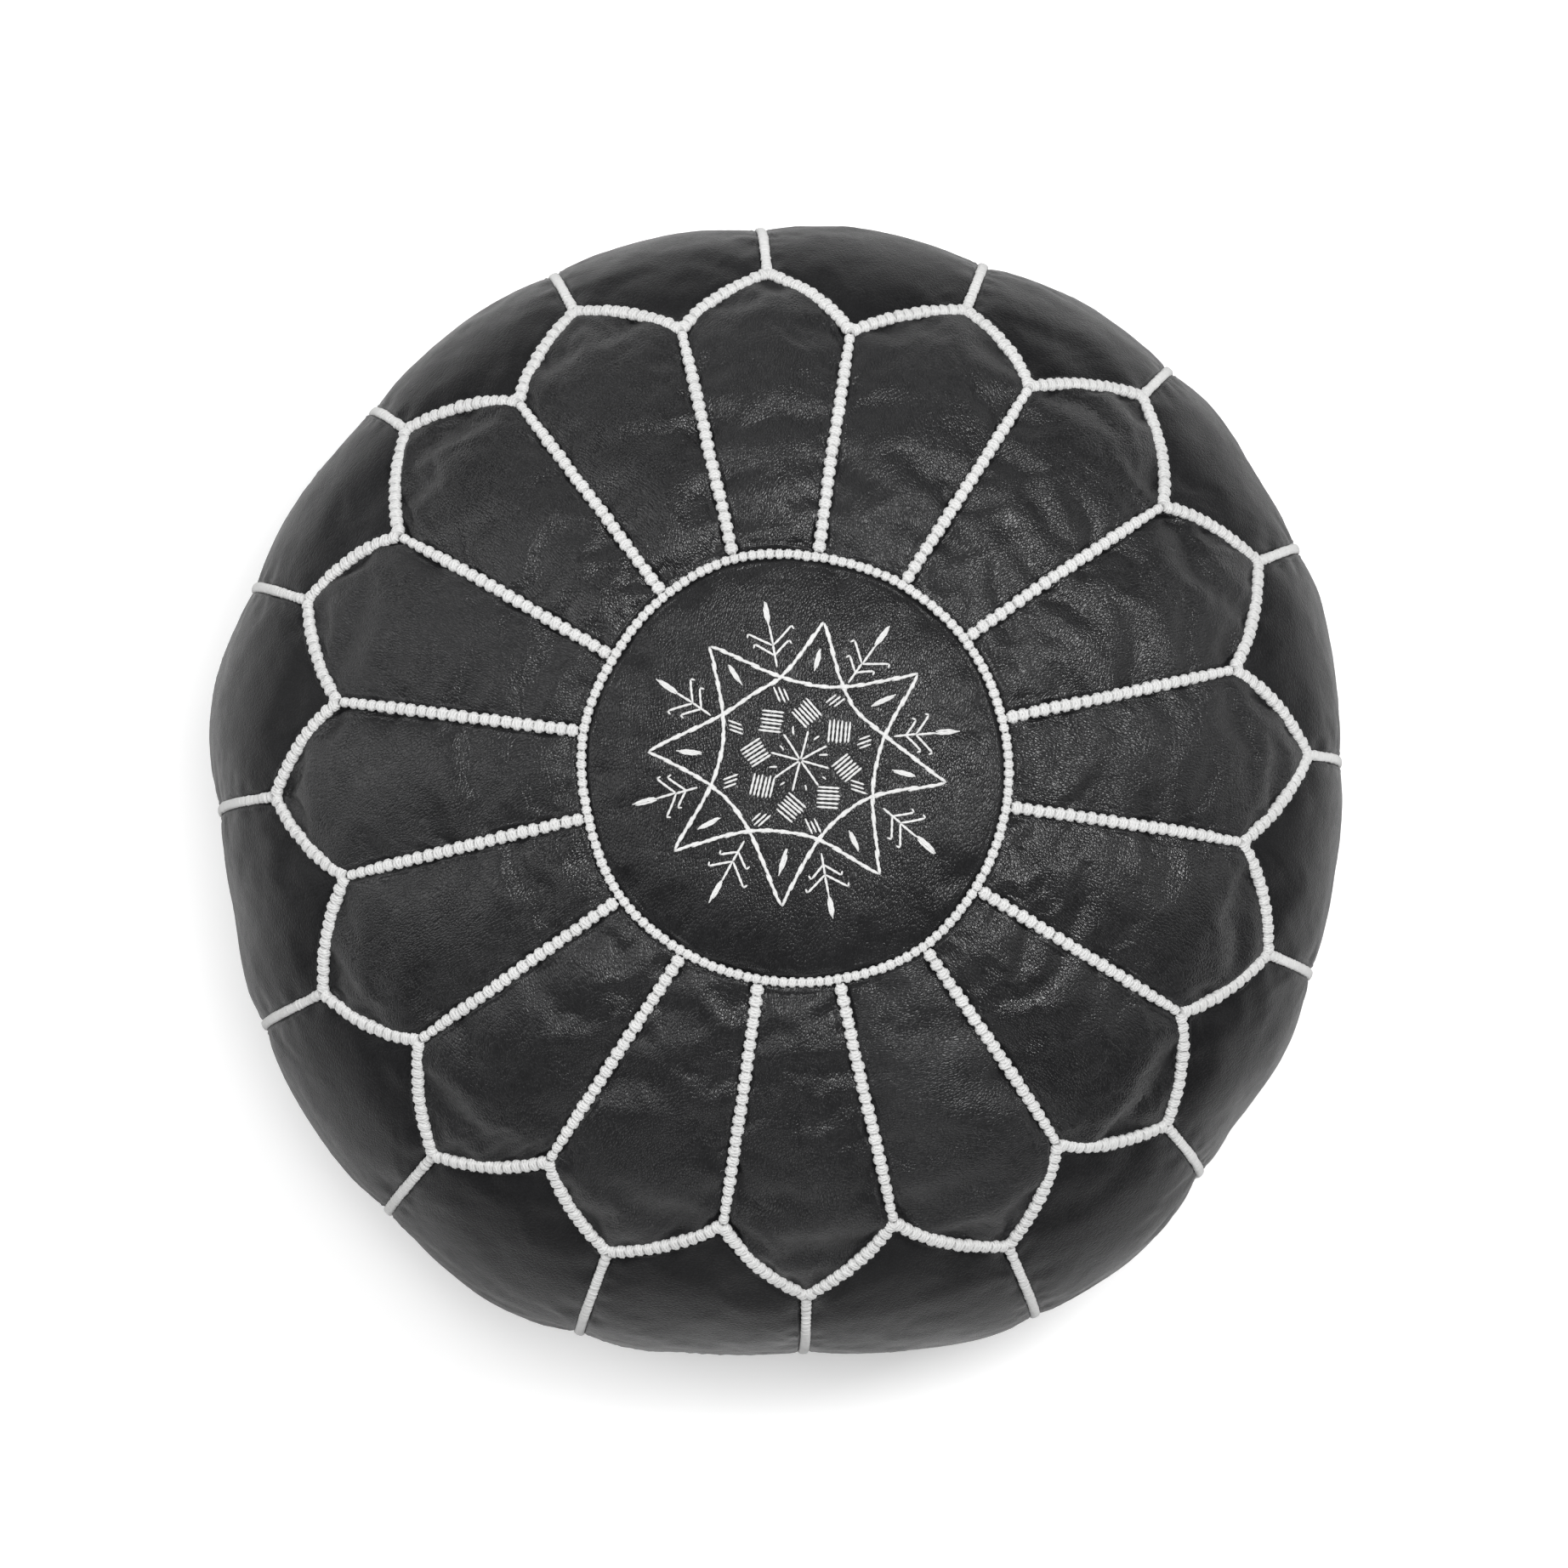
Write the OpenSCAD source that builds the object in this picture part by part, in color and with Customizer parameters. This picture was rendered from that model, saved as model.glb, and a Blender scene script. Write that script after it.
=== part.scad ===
// Leather floor pouf with petal patchwork top, braided seams, an embroidered
// centre and a zip fastener in the underside.
// Units are millimetres. +Z is up. The origin is on the floor, under the centre.

/* [Cover] */
// Widest diameter over the leather
cover_d = 530; // [480:10:600]
// Height from the floor to the top of the dome
cover_h = 330; // [300:10:380]
// Height of the widest point above the floor
belly_z = 150; // [140:5:170]
// Squareness of the upper half, where 2 is an ellipse
upper_n = 2.5; // [2.3:0.1:2.8]
// Squareness of the lower half, where 2 is an ellipse
lower_n = 2.8; // [2.6:0.1:3]
// Radius of the base disc that stands on the floor
base_r = 205; // [200:1:215]
// Thickness of the tanned goatskin
leather_t = 1.6; // [1.2:0.1:2]

/* [Petal pattern] */
// Number of petals, and of side panels
petal_count = 16; // [12:2:18]
// Radius of the seam round the centre medallion
medallion_r = 94.5; // [90:0.5:105]
// Radius where two neighbouring petal tips meet
valley_r = 204; // [196:1:208]
// Radius at the point of a petal
tip_r = 232; // [224:1:236]
// Fullness of the petal tips, where 1 is a straight taper
tip_fullness = 1.3; // [1.2:0.1:1.8]

/* [Braided seams] */
// Width of the braids between the petals
petal_braid_w = 6; // [4:0.2:7]
// Width of the braids round the medallion and the petal tips
round_braid_w = 5.2; // [4:0.2:6]
// Width of the braids down the sides
side_braid_w = 5.4; // [4:0.2:6]
// Height of a braid above the leather
braid_h = 2.6; // [1.6:0.2:3]

/* [Embroidery] */
// Size of the star from its centre to its points
star_r = 64; // [56:1:68]
// Turn of the whole motif
motif_turn = -10.5; // [-22:0.5:22]
// Place of the motif's centre on the medallion
motif_at = [3, 3.5];
// Height of a thread above the leather
thread_h = 0.9; // [0.6:0.1:1.2]

/* [Zip] */
// Half the length of the tooth rows
zip_half = 158; // [140:1:158]
// Distance from tooth to tooth along one row
tooth_pitch = 3.2; // [3:0.1:4]
// Place of the slider along the zip, closed
slider_x = 150; // [60:1:150]
// Length of the pull tab from its pivot
pull_len = 24; // [18:1:24]
// Droop of the pull tab where it lies on the floor, in degrees
pull_droop = 5.5; // [5:0.1:5.6]

/* [Hidden] */
$fn = 96;
R = cover_d / 2;
upper_h = cover_h - belly_z;
// the lower half is a superellipse that reaches the floor at the base disc
lower_h = belly_z / pow(1 - pow(base_r / R, lower_n), 1 / lower_n);
lower_end = asin(pow(belly_z / lower_h, lower_n / 2));
step_a = 360 / petal_count;
gap_a = 0.15;       // half the slit between neighbouring panels, in degrees
slit = 0.4;         // half the slit along curved edges
skin_gap = 0.4;     // between the leather and the filling
lift = 0.1;         // between the leather and what is sewn on it

function two(i) = str(i < 10 ? "0" : "", i);
function tip_angle(i) = 90 - step_a * (i - 1);

// ---------- outer surface of the cover ----------
// a point of the half section [radius, height] and its outward normal,
// for a in 0..90 from the belly up to the crown
function up_pt(a) = [R * pow(cos(a), 2 / upper_n), belly_z + upper_h * pow(sin(a), 2 / upper_n)];
function unit(v) = v / norm(v);
function up_nrm(a) = let (p = up_pt(a))
    unit([pow(p[0] / R, upper_n - 1) / R, pow(max(0, (p[1] - belly_z) / upper_h), upper_n - 1) / upper_h]);
// and for a in 0..lower_end from the belly down to the base disc
function low_pt(a) = [R * pow(cos(a), 2 / lower_n), belly_z - lower_h * pow(sin(a), 2 / lower_n)];
function low_nrm(a) = let (p = low_pt(a))
    unit([pow(p[0] / R, lower_n - 1) / R, -pow((belly_z - p[1]) / lower_h, lower_n - 1) / lower_h]);
function up_off(a, d) = a >= 89.999 ? [0, cover_h + d] : up_pt(a) + d * up_nrm(a);
function low_off(a, d) = low_pt(a) + d * low_nrm(a);
function rev(l) = [for (i = [len(l) - 1 : -1 : 0]) l[i]];

// half section of a skin between two distances from the outer surface;
// ups and lows are the angles that it passes, from the crown to the base
module skin_section(ups, lows, inner, outer) {
    polygon(concat(
        [for (a = ups) up_off(a, outer)], [for (a = lows) low_off(a, outer)],
        rev([for (a = lows) low_off(a, inner)]), rev([for (a = ups) up_off(a, inner)])
    ));
}
crown_ups = [90, 85, 80, 75, 70];
petal_ups = [for (a = [75 : -5 : 25]) a];
side_ups = [for (a = [50 : -5 : 0]) a];
side_lows = [for (k = [1 : 9]) lower_end * k / 9 * (k == 9 ? 1.02 : 1)];

// radius of the petal outline at an angle away from the petal's point
function scallop(f) = valley_r + (tip_r - valley_r) * (1 - pow(min(1, abs(f) / (step_a / 2)), tip_fullness));
function slope(f) = let (e = 0.05, g = min(abs(f), step_a / 2 - e) + e / 2)
    (scallop(g - e / 2) - scallop(g + e / 2)) / (e * PI / 180) / scallop(f);
// the same outline moved outwards by d, measured across the line
function scallop_off(f, d) = scallop(f) + d * sqrt(1 + pow(slope(f), 2));
function polar(r, a) = [r * cos(a), r * sin(a)];

// ---------- leather panels ----------
module medallion_panel() {
    color([0.16, 0.16, 0.17])
    intersection() {
        rotate_extrude() skin_section(crown_ups, [], -leather_t, 0);
        cylinder(r = medallion_r - slit, h = cover_h + 10);
    }
}

module petal(i) {
    color([0.16, 0.16, 0.17])
    difference() {
        intersection() {
            rotate([0, 0, tip_angle(i) - step_a / 2 + gap_a])
                rotate_extrude(angle = step_a - 2 * gap_a) skin_section(petal_ups, [], -leather_t, 0);
            translate([0, 0, belly_z]) linear_extrude(upper_h + 10)
                polygon(concat([[0, 0]], [for (k = [-8 : 8]) let (f = k / 8 * step_a / 2)
                    polar(scallop_off(f, -slit), tip_angle(i) + f)]));
        }
        cylinder(r = medallion_r + slit, h = cover_h + 20);
    }
}

// a side panel hangs from the edges of two petals and reaches the base disc
module side_panel(i) {
    va = tip_angle(i) - step_a / 2;
    color([0.15, 0.15, 0.16])
    difference() {
        rotate([0, 0, va - step_a / 2 + gap_a])
            rotate_extrude(angle = step_a - 2 * gap_a) skin_section(side_ups, side_lows, -leather_t, 0);
        translate([0, 0, belly_z]) linear_extrude(upper_h + 10)
            polygon(concat([[0, 0]], [for (k = [-16 : 16])
                polar(scallop_off((abs(k) / 16 - 0.5) * step_a, slit), va + step_a * k / 16)]));
        translate([0, 0, -5]) cylinder(r = base_r + 0.2, h = 60);
        translate([-cover_d, -cover_d, -20]) cube([2 * cover_d, 2 * cover_d, 20]);
    }
}

// a raised tray with sloping sides: half width and half length at the floor and at the top
module tray(wy, wx, ty, tx, h, z = 0) {
    translate([0, 0, z]) intersection() {
        translate([-300, 0, 0]) rotate([90, 0, 90]) linear_extrude(600)
            polygon([[-wy, 0], [wy, 0], [ty, h], [-ty, h]]);
        translate([0, 300, 0]) rotate([90, 0, 0]) linear_extrude(600)
            polygon([[-wx, 0], [wx, 0], [tx, h], [-tx, h]]);
    }
}
lip_z = 7;          // underside of the leather along the zip
lip_y = 8;          // leather edge from the middle of the zip
tray_ty = 20; tray_wy = 34; tray_tx = zip_half + 12; tray_wx = tray_tx + 14;

module base_skin() {
    difference() {
        union() {
            cylinder(r = base_r - 0.2, h = leather_t);
            tray(tray_wy + 1.5, tray_wx + 1.5, tray_ty + 0.8, tray_tx + 0.8, lip_z + leather_t);
        }
        translate([0, 0, -0.01]) tray(tray_wy + 0.02, tray_wx + 0.02, tray_ty, tray_tx, lip_z + 0.01);
        translate([-zip_half - 6, -lip_y, -1]) cube([2 * zip_half + 12, 2 * lip_y, 30]);
    }
}
module base_panel(side) {
    color([0.13, 0.13, 0.14])
    intersection() {
        base_skin();
        translate([-cover_d, side > 0 ? slit : -cover_d - slit, -1]) cube([2 * cover_d, cover_d, 30]);
    }
}

// ---------- filling ----------
module filling() {
    in = -leather_t - skin_gap;
    floor_z = leather_t + skin_gap;
    color([0.86, 0.83, 0.76])
    difference() {
        rotate_extrude()
            intersection() {
                polygon(concat([[0, 0]], [[0, cover_h + in]],
                    [for (a = [85 : -5 : 0]) up_off(a, in)],
                    [for (k = [1 : 9]) low_off(lower_end * k / 9, in)],
                    [[low_off(lower_end, in)[0] - 6, 0]]));
                translate([0, floor_z]) square([R + 10, cover_h]);
            }
        tray(tray_wy + 8, tray_wx + 6, tray_ty + 4, tray_tx + 3, 14.5);
    }
}

// ---------- braided seams ----------
module medallion_braid() {
    color([0.93, 0.93, 0.91])
    intersection() {
        rotate_extrude() skin_section([80, 75, 70], [], lift, braid_h);
        difference() {
            cylinder(r = medallion_r + round_braid_w / 2, h = cover_h + 20);
            translate([0, 0, -1]) cylinder(r = medallion_r - round_braid_w / 2, h = cover_h + 30);
        }
    }
}

module petal_braids() {
    r0 = medallion_r + round_braid_w / 2 + 0.3;
    r1 = scallop_off(step_a / 2, -round_braid_w / 2) - 0.6;
    color([0.93, 0.93, 0.91])
    for (i = [1 : petal_count]) rotate([0, 0, tip_angle(i) - step_a / 2])
        intersection() {
            rotate([0, 0, -3]) rotate_extrude(angle = 6) skin_section([75, 70, 65, 60, 55, 50, 45], [], lift, braid_h);
            translate([r0, -petal_braid_w / 2, belly_z]) cube([r1 - r0, petal_braid_w, upper_h + 10]);
        }
}

module petal_tip_braids() {
    color([0.93, 0.93, 0.91])
    for (i = [1 : petal_count]) rotate([0, 0, tip_angle(i)])
        intersection() {
            rotate([0, 0, -step_a / 2 + 0.05]) rotate_extrude(angle = step_a - 0.1)
                skin_section([50, 45, 40, 35, 30, 25, 20], [], lift, braid_h);
            translate([0, 0, belly_z]) linear_extrude(upper_h + 10)
                polygon(concat(
                    [for (k = [-7 : 7]) let (f = k / 7 * step_a / 2) polar(scallop_off(f, -round_braid_w / 2), f)],
                    [for (k = [7 : -1 : -7]) let (f = k / 7 * step_a / 2) polar(scallop_off(f, round_braid_w / 2), f)]));
        }
}

module side_braids() {
    color([0.9, 0.9, 0.88])
    for (i = [1 : petal_count]) rotate([0, 0, tip_angle(i)])
        intersection() {
            rotate([0, 0, -2]) rotate_extrude(angle = 4)
                skin_section([for (a = [35 : -5 : 0]) a], [for (k = [1 : 9]) lower_end * k / 9], lift, braid_h);
            difference() {
                translate([150, -side_braid_w / 2, 1.2]) cube([200, side_braid_w, cover_h]);
                translate([0, 0, belly_z]) cylinder(r = tip_r + round_braid_w / 2 + 0.4, h = upper_h + 20);
            }
        }
}

// ---------- embroidery on the medallion ----------
// what is drawn flat is laid on the crown as raised thread
module laid() {
    intersection() {
        rotate_extrude() skin_section([90, 85, 80, 75], [], lift, thread_h);
        translate([motif_at[0], motif_at[1], belly_z]) rotate([0, 0, motif_turn])
            linear_extrude(upper_h + 10) children();
    }
}
// a straight stitch from a to b
module stitch(a, b, w = 1) {
    d = unit(b - a) * w / 2;
    n = [-d[1], d[0]];
    polygon([a + n, a - n, b - n, b + n]);
}
// a satin stitch that tapers to both ends
module spindle(a, b, w) {
    n = [-(b - a)[1], (b - a)[0]] / norm(b - a) * w / 2;
    polygon([a, a + (b - a) * 0.3 - n * 0.8, a + (b - a) * 0.6 - n, b, a + (b - a) * 0.6 + n, a + (b - a) * 0.3 + n * 0.8]);
}
u = star_r / 64;    // all the motif's sizes follow the star
star_x = 45.3 * u;
function star_y(x) = 32.7 * u + 12.6 * u * pow(abs(x) / star_x, 1.6);

module star_outline() {
    color([0.92, 0.92, 0.9]) laid()
    for (k = [0 : 7]) rotate([0, 0, 45 * k])
        polygon(concat([for (j = [-6 : 6]) let (x = star_x * j / 6) [x, star_y(x) - 0.7]],
                       [for (j = [6 : -1 : -6]) let (x = star_x * j / 6) [x, star_y(x) + 0.7]]));
}
module star_point_stitches() {
    color([0.92, 0.92, 0.9]) laid()
    for (k = [0 : 7]) rotate([0, 0, 45 * k]) spindle([0, 39.5 * u], [0, 50 * u], 2.4);
}
module wheat_sprigs() {
    color([0.92, 0.92, 0.9]) laid()
    for (k = [0 : 7]) rotate([0, 0, 45 * k + 22.5]) {
        stitch([0, 41 * u], [0, 58.5 * u], 0.9);
        spindle([0, 57.5 * u], [0, 71.5 * u], 2.6);
        for (s = [-1, 1]) {
            stitch([0, 46 * u], [s * 7.6 * u, 52 * u], 0.9);
            stitch([s * 7.6 * u, 52.3 * u], [s * 8.1 * u, 49.8 * u], 0.9);
            stitch([0, 51.8 * u], [s * 9.6 * u, 59.2 * u], 0.9);
            stitch([s * 9.6 * u, 59.5 * u], [s * 10.2 * u, 56.8 * u], 0.9);
        }
    }
}
module hatched_squares() {
    color([0.92, 0.92, 0.9]) laid()
    for (k = [0 : 7]) rotate([0, 0, 45 * k]) translate([0, 20.6 * u]) rotate([0, 0, 49])
        for (j = [0 : 5]) translate([(j - 2.5) * 1.95 * u, 0]) stitch([0, -5.2 * u], [0, 5.2 * u], 1.1);
}
module centre_rays() {
    color([0.92, 0.92, 0.9]) laid()
    for (k = [0 : 7]) rotate([0, 0, 45 * k - 4]) stitch([0, 0], [0, 12.6 * u], 1.1);
}
module centre_dashes() {
    color([0.92, 0.92, 0.9]) laid()
    for (k = [0 : 7]) rotate([0, 0, 45 * k + 22.5]) spindle([0, 10 * u], [0, 14 * u], 1.4);
}
module hatch_marks() {
    color([0.92, 0.92, 0.9]) laid()
    for (k = [0 : 7]) rotate([0, 0, 45 * k + 22.5]) translate([0, 29 * u])
        for (j = [-1 : 1]) stitch([j * 1.8 + 1.2, -2.6 * u], [j * 1.8 - 1.2, 2.6 * u], 0.9);
}

// ---------- zip ----------
tooth_z0 = 7.7; tooth_z1 = 10.9;
tape_z0 = 8.95; tape_z1 = 9.65;
tape_y0 = 1.7; tape_y1 = 20.4;
tooth_n = floor((2 * zip_half - 4) / tooth_pitch);

module zip_tape(side) {
    color([0.1, 0.1, 0.11])
    translate([-zip_half - 10, side > 0 ? tape_y0 : -tape_y1, tape_z0])
        cube([2 * zip_half + 20, tape_y1 - tape_y0, tape_z1 - tape_z0]);
}
// one row of teeth on its cord, which grips the edge of the tape
module zip_teeth(side) {
    color([0.14, 0.14, 0.15])
    mirror([0, side > 0 ? 0 : 1, 0])
    difference() {
        translate([0, 0, tooth_z0]) linear_extrude(tooth_z1 - tooth_z0)
            polygon(concat([[-zip_half, 3.4], [zip_half, 3.4], [zip_half, 2]],
                [for (k = [tooth_n - 1 : -1 : 0])
                    let (x = (k - (tooth_n - 1) / 2) * tooth_pitch + (side > 0 ? 0.8 : -0.8))
                    each [[x + 0.9, 2], [x + 0.9, 0.55], [x - 0.9, 0.55], [x - 0.9, 2]]],
                [[-zip_half, 2]]));
        translate([-zip_half - 1, 1.6, tape_z0 - 0.05]) cube([2 * zip_half + 2, 4, tape_z1 - tape_z0 + 0.1]);
    }
}
module stop_block(x0, x1, y0, y1) {
    difference() {
        translate([x0, y0, 7.4]) cube([x1 - x0, y1 - y0, 3.8]);
        for (s = [-1, 1]) translate([x0 - 1, s > 0 ? 1.6 : -5.6, tape_z0 - 0.05]) cube([x1 - x0 + 2, 4, tape_z1 - tape_z0 + 0.1]);
    }
}
module zip_end_stop() {
    color([0.72, 0.7, 0.64]) stop_block(-zip_half - 4, -zip_half - 0.3, -3.7, 3.7);
}
module zip_closing_stops() {
    color([0.72, 0.7, 0.64]) {
        stop_block(zip_half + 0.3, zip_half + 4, 0.6, 3.7);
        mirror([0, 1, 0]) stop_block(zip_half + 0.3, zip_half + 4, 0.6, 3.7);
    }
}
pin_z = 3.2; pin_r = 0.9;
// two shields round the teeth, joined by the divider, with the pull's pin outside
module zip_slider() {
    shield = [[-5.5, -4.2], [3, -5], [6, -5], [6, 5], [3, 5], [-5.5, 4.2]];
    color([0.72, 0.7, 0.64])
    translate([slider_x, 0, 0]) {
        difference() {
            union() {
                translate([0, 0, 5.8]) linear_extrude(2.8) polygon(shield);
                translate([0, 0, 10]) linear_extrude(2.6) polygon(shield);
            }
            translate([-10, -3.7, 7.4]) cube([20, 7.4, 3.8]);
        }
        translate([3, -0.2, 7]) cube([2.2, 0.4, 4.6]);
        for (s = [-1, 1]) translate([0, s > 0 ? 1.65 : -2.75, 0])
            difference() {
                translate([-1.8, 0, 1.6]) cube([3.6, 1.1, 4.6]);
                translate([-3, -1, 0]) rotate([0, 35, 0]) cube([3, 4, 3]);
            }
        translate([0, -2.4, pin_z]) rotate([-90, 0, 0]) cylinder(r = pin_r, h = 4.8);
    }
}
// a flat tab that swings on the slider's pin
module zip_pull() {
    color([0.72, 0.7, 0.64])
    translate([slider_x, 0, pin_z]) rotate([0, -pull_droop, 0])
    difference() {
        union() {
            translate([0, -1.4, 0]) rotate([-90, 0, 0]) cylinder(r = 2, h = 2.8);
            translate([-6, -1.4, -0.7]) cube([5, 2.8, 1.4]);
            translate([0, 0, -0.7]) linear_extrude(1.4)
                polygon([[-5, -1.4], [-7, -3.6], [-pull_len + 2, -4], [-pull_len, -2.5], [-pull_len, 2.5], [-pull_len + 2, 4], [-7, 3.6], [-5, 1.4]]);
        }
        translate([0, -3, 0]) rotate([-90, 0, 0]) cylinder(r = pin_r + 0.08, h = 6);
        translate([-pull_len + 3.5, -1.5, -3]) cube([9, 3, 6]);
    }
}

// ---------- assembly ----------
medallion_panel();
base_panel(-1);  // base_panel_front
base_panel(1);  // base_panel_back
filling();
medallion_braid();
petal_braids();
petal_tip_braids();
side_braids();
star_outline();
star_point_stitches();
wheat_sprigs();
hatched_squares();
centre_rays();
centre_dashes();
hatch_marks();
zip_tape(-1);  // zip_tape_front
zip_tape(1);  // zip_tape_back
zip_teeth(-1);  // zip_teeth_front
zip_teeth(1);  // zip_teeth_back
zip_end_stop();
zip_closing_stops();
zip_slider();
zip_pull();
for (i = [1 : petal_count]) {
    petal(i);
    side_panel(i);
}
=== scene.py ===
import bpy
import math
import numpy as np
from mathutils import Matrix, Vector


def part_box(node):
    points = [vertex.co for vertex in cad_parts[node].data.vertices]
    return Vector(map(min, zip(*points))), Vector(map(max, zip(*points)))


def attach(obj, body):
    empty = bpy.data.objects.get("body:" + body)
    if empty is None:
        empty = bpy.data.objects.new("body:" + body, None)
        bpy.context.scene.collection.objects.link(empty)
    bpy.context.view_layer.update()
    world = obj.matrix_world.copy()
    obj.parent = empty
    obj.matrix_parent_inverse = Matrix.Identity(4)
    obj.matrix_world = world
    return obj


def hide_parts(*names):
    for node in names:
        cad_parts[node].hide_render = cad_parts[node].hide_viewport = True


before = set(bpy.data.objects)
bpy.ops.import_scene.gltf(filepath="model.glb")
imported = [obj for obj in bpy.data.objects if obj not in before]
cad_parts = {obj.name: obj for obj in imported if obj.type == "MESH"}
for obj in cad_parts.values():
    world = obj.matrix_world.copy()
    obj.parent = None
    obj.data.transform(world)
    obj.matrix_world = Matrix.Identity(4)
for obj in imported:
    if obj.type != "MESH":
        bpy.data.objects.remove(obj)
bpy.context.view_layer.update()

# Everything below is worked out in millimetres and scaled once, when a mesh is made.
MM = 0.001
N = 16
STEP = 360.0 / N


# ------------------------------------------------------------------ the frame's sizes
def node_box(name):
    a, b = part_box(name)
    return np.array(a) / MM, np.array(b) / MM


SIDE_BOXES = [node_box("side_panel_%02d" % (i + 1)) for i in range(N)]
R = max(b[0] for _, b in SIDE_BOXES)                 # widest radius of the leather
TOP = node_box("medallion_panel")[1][2]              # crown of the dome
MEDAL_R = node_box("medallion_panel")[1][0] + 0.4    # seam round the medallion
BASE_R = node_box("base_panel_back")[1][0] + 0.2     # base disc
ZIP_HALF = node_box("zip_teeth_back")[1][0]
TIP_R, VALLEY_R = 232.0, 204.0
BELLY, UP_N, LOW_N = 150.0, 2.5, 2.8
LEATHER = 1.4

# Small irregularities of the hand-cut patchwork, clockwise from the petal on +Y: (radius in mm, turn in degrees)
INNER_OFF = [(-0.5, 2.0), (0, 0.5), (0.5, 1.0), (0.5, 0), (1, -1), (1.5, -1.5), (2.5, 0.5), (0, -1),
             (-1, 0), (-1, 1), (-0.5, 1), (-2.5, 0), (-1.5, -1), (-2, -0.5), (0, 0.5), (1.5, 2)]
VALLEY_OFF = [(-4.5, 1.2), (0, -0.2), (2, -0.2), (0, -0.2), (0, 0.4), (0, 0), (-0.5, -0.2), (1, -0.5),
              (-1, 0.5), (-1, -0.4), (-1, -0.2), (-1, -0.4), (0, 0), (0.5, 0.2), (2.5, 0.2), (1, 0.3)]
TIP_OFF = [(-4, 0.2), (-6.5, -0.5), (4.5, 0), (2, 0), (3.5, 0.3), (-2, 0), (-1, 0), (1, 0.3),
           (1.5, -0.3), (-3.5, -0.6), (1.5, -0.4), (-1, 0.2), (-0.5, 0), (-1, 0.2), (2, 0.5), (0, 0)]


# ------------------------------------------------------------------ repeatable noise
def hashed(ix, iy, iz, seed):
    h = (ix.astype(np.int64) * 374761393 + iy.astype(np.int64) * 668265263 + iz.astype(np.int64) * 2147483647 + seed * 1274126177) & 0xFFFFFFFF
    h = ((h ^ (h >> 13)) * 1274126177) & 0xFFFFFFFF
    h = ((h ^ (h >> 16)) * 2246822519) & 0xFFFFFFFF
    return ((h ^ (h >> 15)) & 0xFFFFFF) / float(0xFFFFFF)


def noise3(p, seed=0):
    """Smooth value noise in -1..1 at the points p."""
    p = np.asarray(p, float)
    i = np.floor(p).astype(np.int64)
    f = p - i
    f = f * f * f * (f * (f * 6 - 15) + 10)
    out = 0
    for dx in (0, 1):
        wx = f[..., 0] if dx else 1 - f[..., 0]
        for dy in (0, 1):
            wy = f[..., 1] if dy else 1 - f[..., 1]
            for dz in (0, 1):
                wz = f[..., 2] if dz else 1 - f[..., 2]
                out = out + wx * wy * wz * hashed(i[..., 0] + dx, i[..., 1] + dy, i[..., 2] + dz, seed)
    return out * 2 - 1


def fbm(p, seed=0, octaves=3, gain=0.5):
    out, amp, tot = 0, 1.0, 0.0
    for k in range(octaves):
        out = out + amp * noise3(np.asarray(p) * (2.03 ** k) + 17.3 * k, seed + k)
        tot += amp
        amp *= gain
    return out / tot


def smooth(x, a, b):
    t = np.clip((np.asarray(x, float) - a) / (b - a), 0, 1)
    return t * t * (3 - 2 * t)


# ------------------------------------------------------------------ the cover's surface
LOW_H = BELLY / (1 - (BASE_R / R) ** LOW_N) ** (1 / LOW_N)
UP_H = TOP - BELLY


def make_profile():
    a = np.linspace(math.pi / 2, 0, 6000)
    up = np.stack([R * np.cos(a) ** (2 / UP_N), BELLY + UP_H * np.sin(a) ** (2 / UP_N)], 1)
    end = math.asin((BELLY / LOW_H) ** (LOW_N / 2))
    b = np.linspace(0, end, 6000)[1:]
    low = np.stack([R * np.cos(b) ** (2 / LOW_N), BELLY - LOW_H * np.sin(b) ** (2 / LOW_N)], 1)
    line = np.concatenate([up, low])
    line[0] = (0, TOP)
    d = np.concatenate([[0], np.cumsum(np.hypot(*np.diff(line, axis=0).T))])
    s = np.linspace(0, d[-1], 2401)
    return s, np.stack([np.interp(s, d, line[:, 0]), np.interp(s, d, line[:, 1])], 1)


PS, PRZ = make_profile()
S_END = PS[-1]
_t = np.gradient(PRZ, PS, axis=0)
for _ in range(6):
    _t[1:-1] = (_t[:-2] + 2 * _t[1:-1] + _t[2:]) / 4
_t /= np.linalg.norm(_t, axis=1)[:, None]
S_BELLY = float(np.interp(-BELLY, -PRZ[:, 1], PS))


def s_of_r(r):
    """Arc length from the crown to the plan radius r, on the upper half."""
    k = PS <= S_BELLY
    return np.interp(r, PRZ[k, 0], PS[k])


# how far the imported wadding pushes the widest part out, in mm, every 10 degrees anticlockwise from +X
LEAN = np.array([-6.5, -5.0, -0.5, -3.0, 1.0, -0.5, -1.5, -5.5, -3.5, -5.0, -3.0, -3.0, -3.0, -4.5, -5.5, -2.5, 0.0, 3.5,
                 -1.5, -5.0, 1.0, 3.0, 5.0, 6.5, 9.5, 5.0, -1.5, -2.0, 1.0, 7.0, 6.5, 4.0, -5.5, -3.5, -6.0, -8.5])


def lean(theta):
    t = (np.asarray(theta, float) % 360) / 10.0
    i = np.floor(t).astype(int)
    f = t - i
    p0, p1, p2, p3 = LEAN[(i - 1) % 36], LEAN[i % 36], LEAN[(i + 1) % 36], LEAN[(i + 2) % 36]
    return p1 + 0.5 * f * (p2 - p0 + f * (2 * p0 - 5 * p1 + 4 * p2 - p3 + f * (3 * (p1 - p2) + p3 - p0)))


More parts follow.
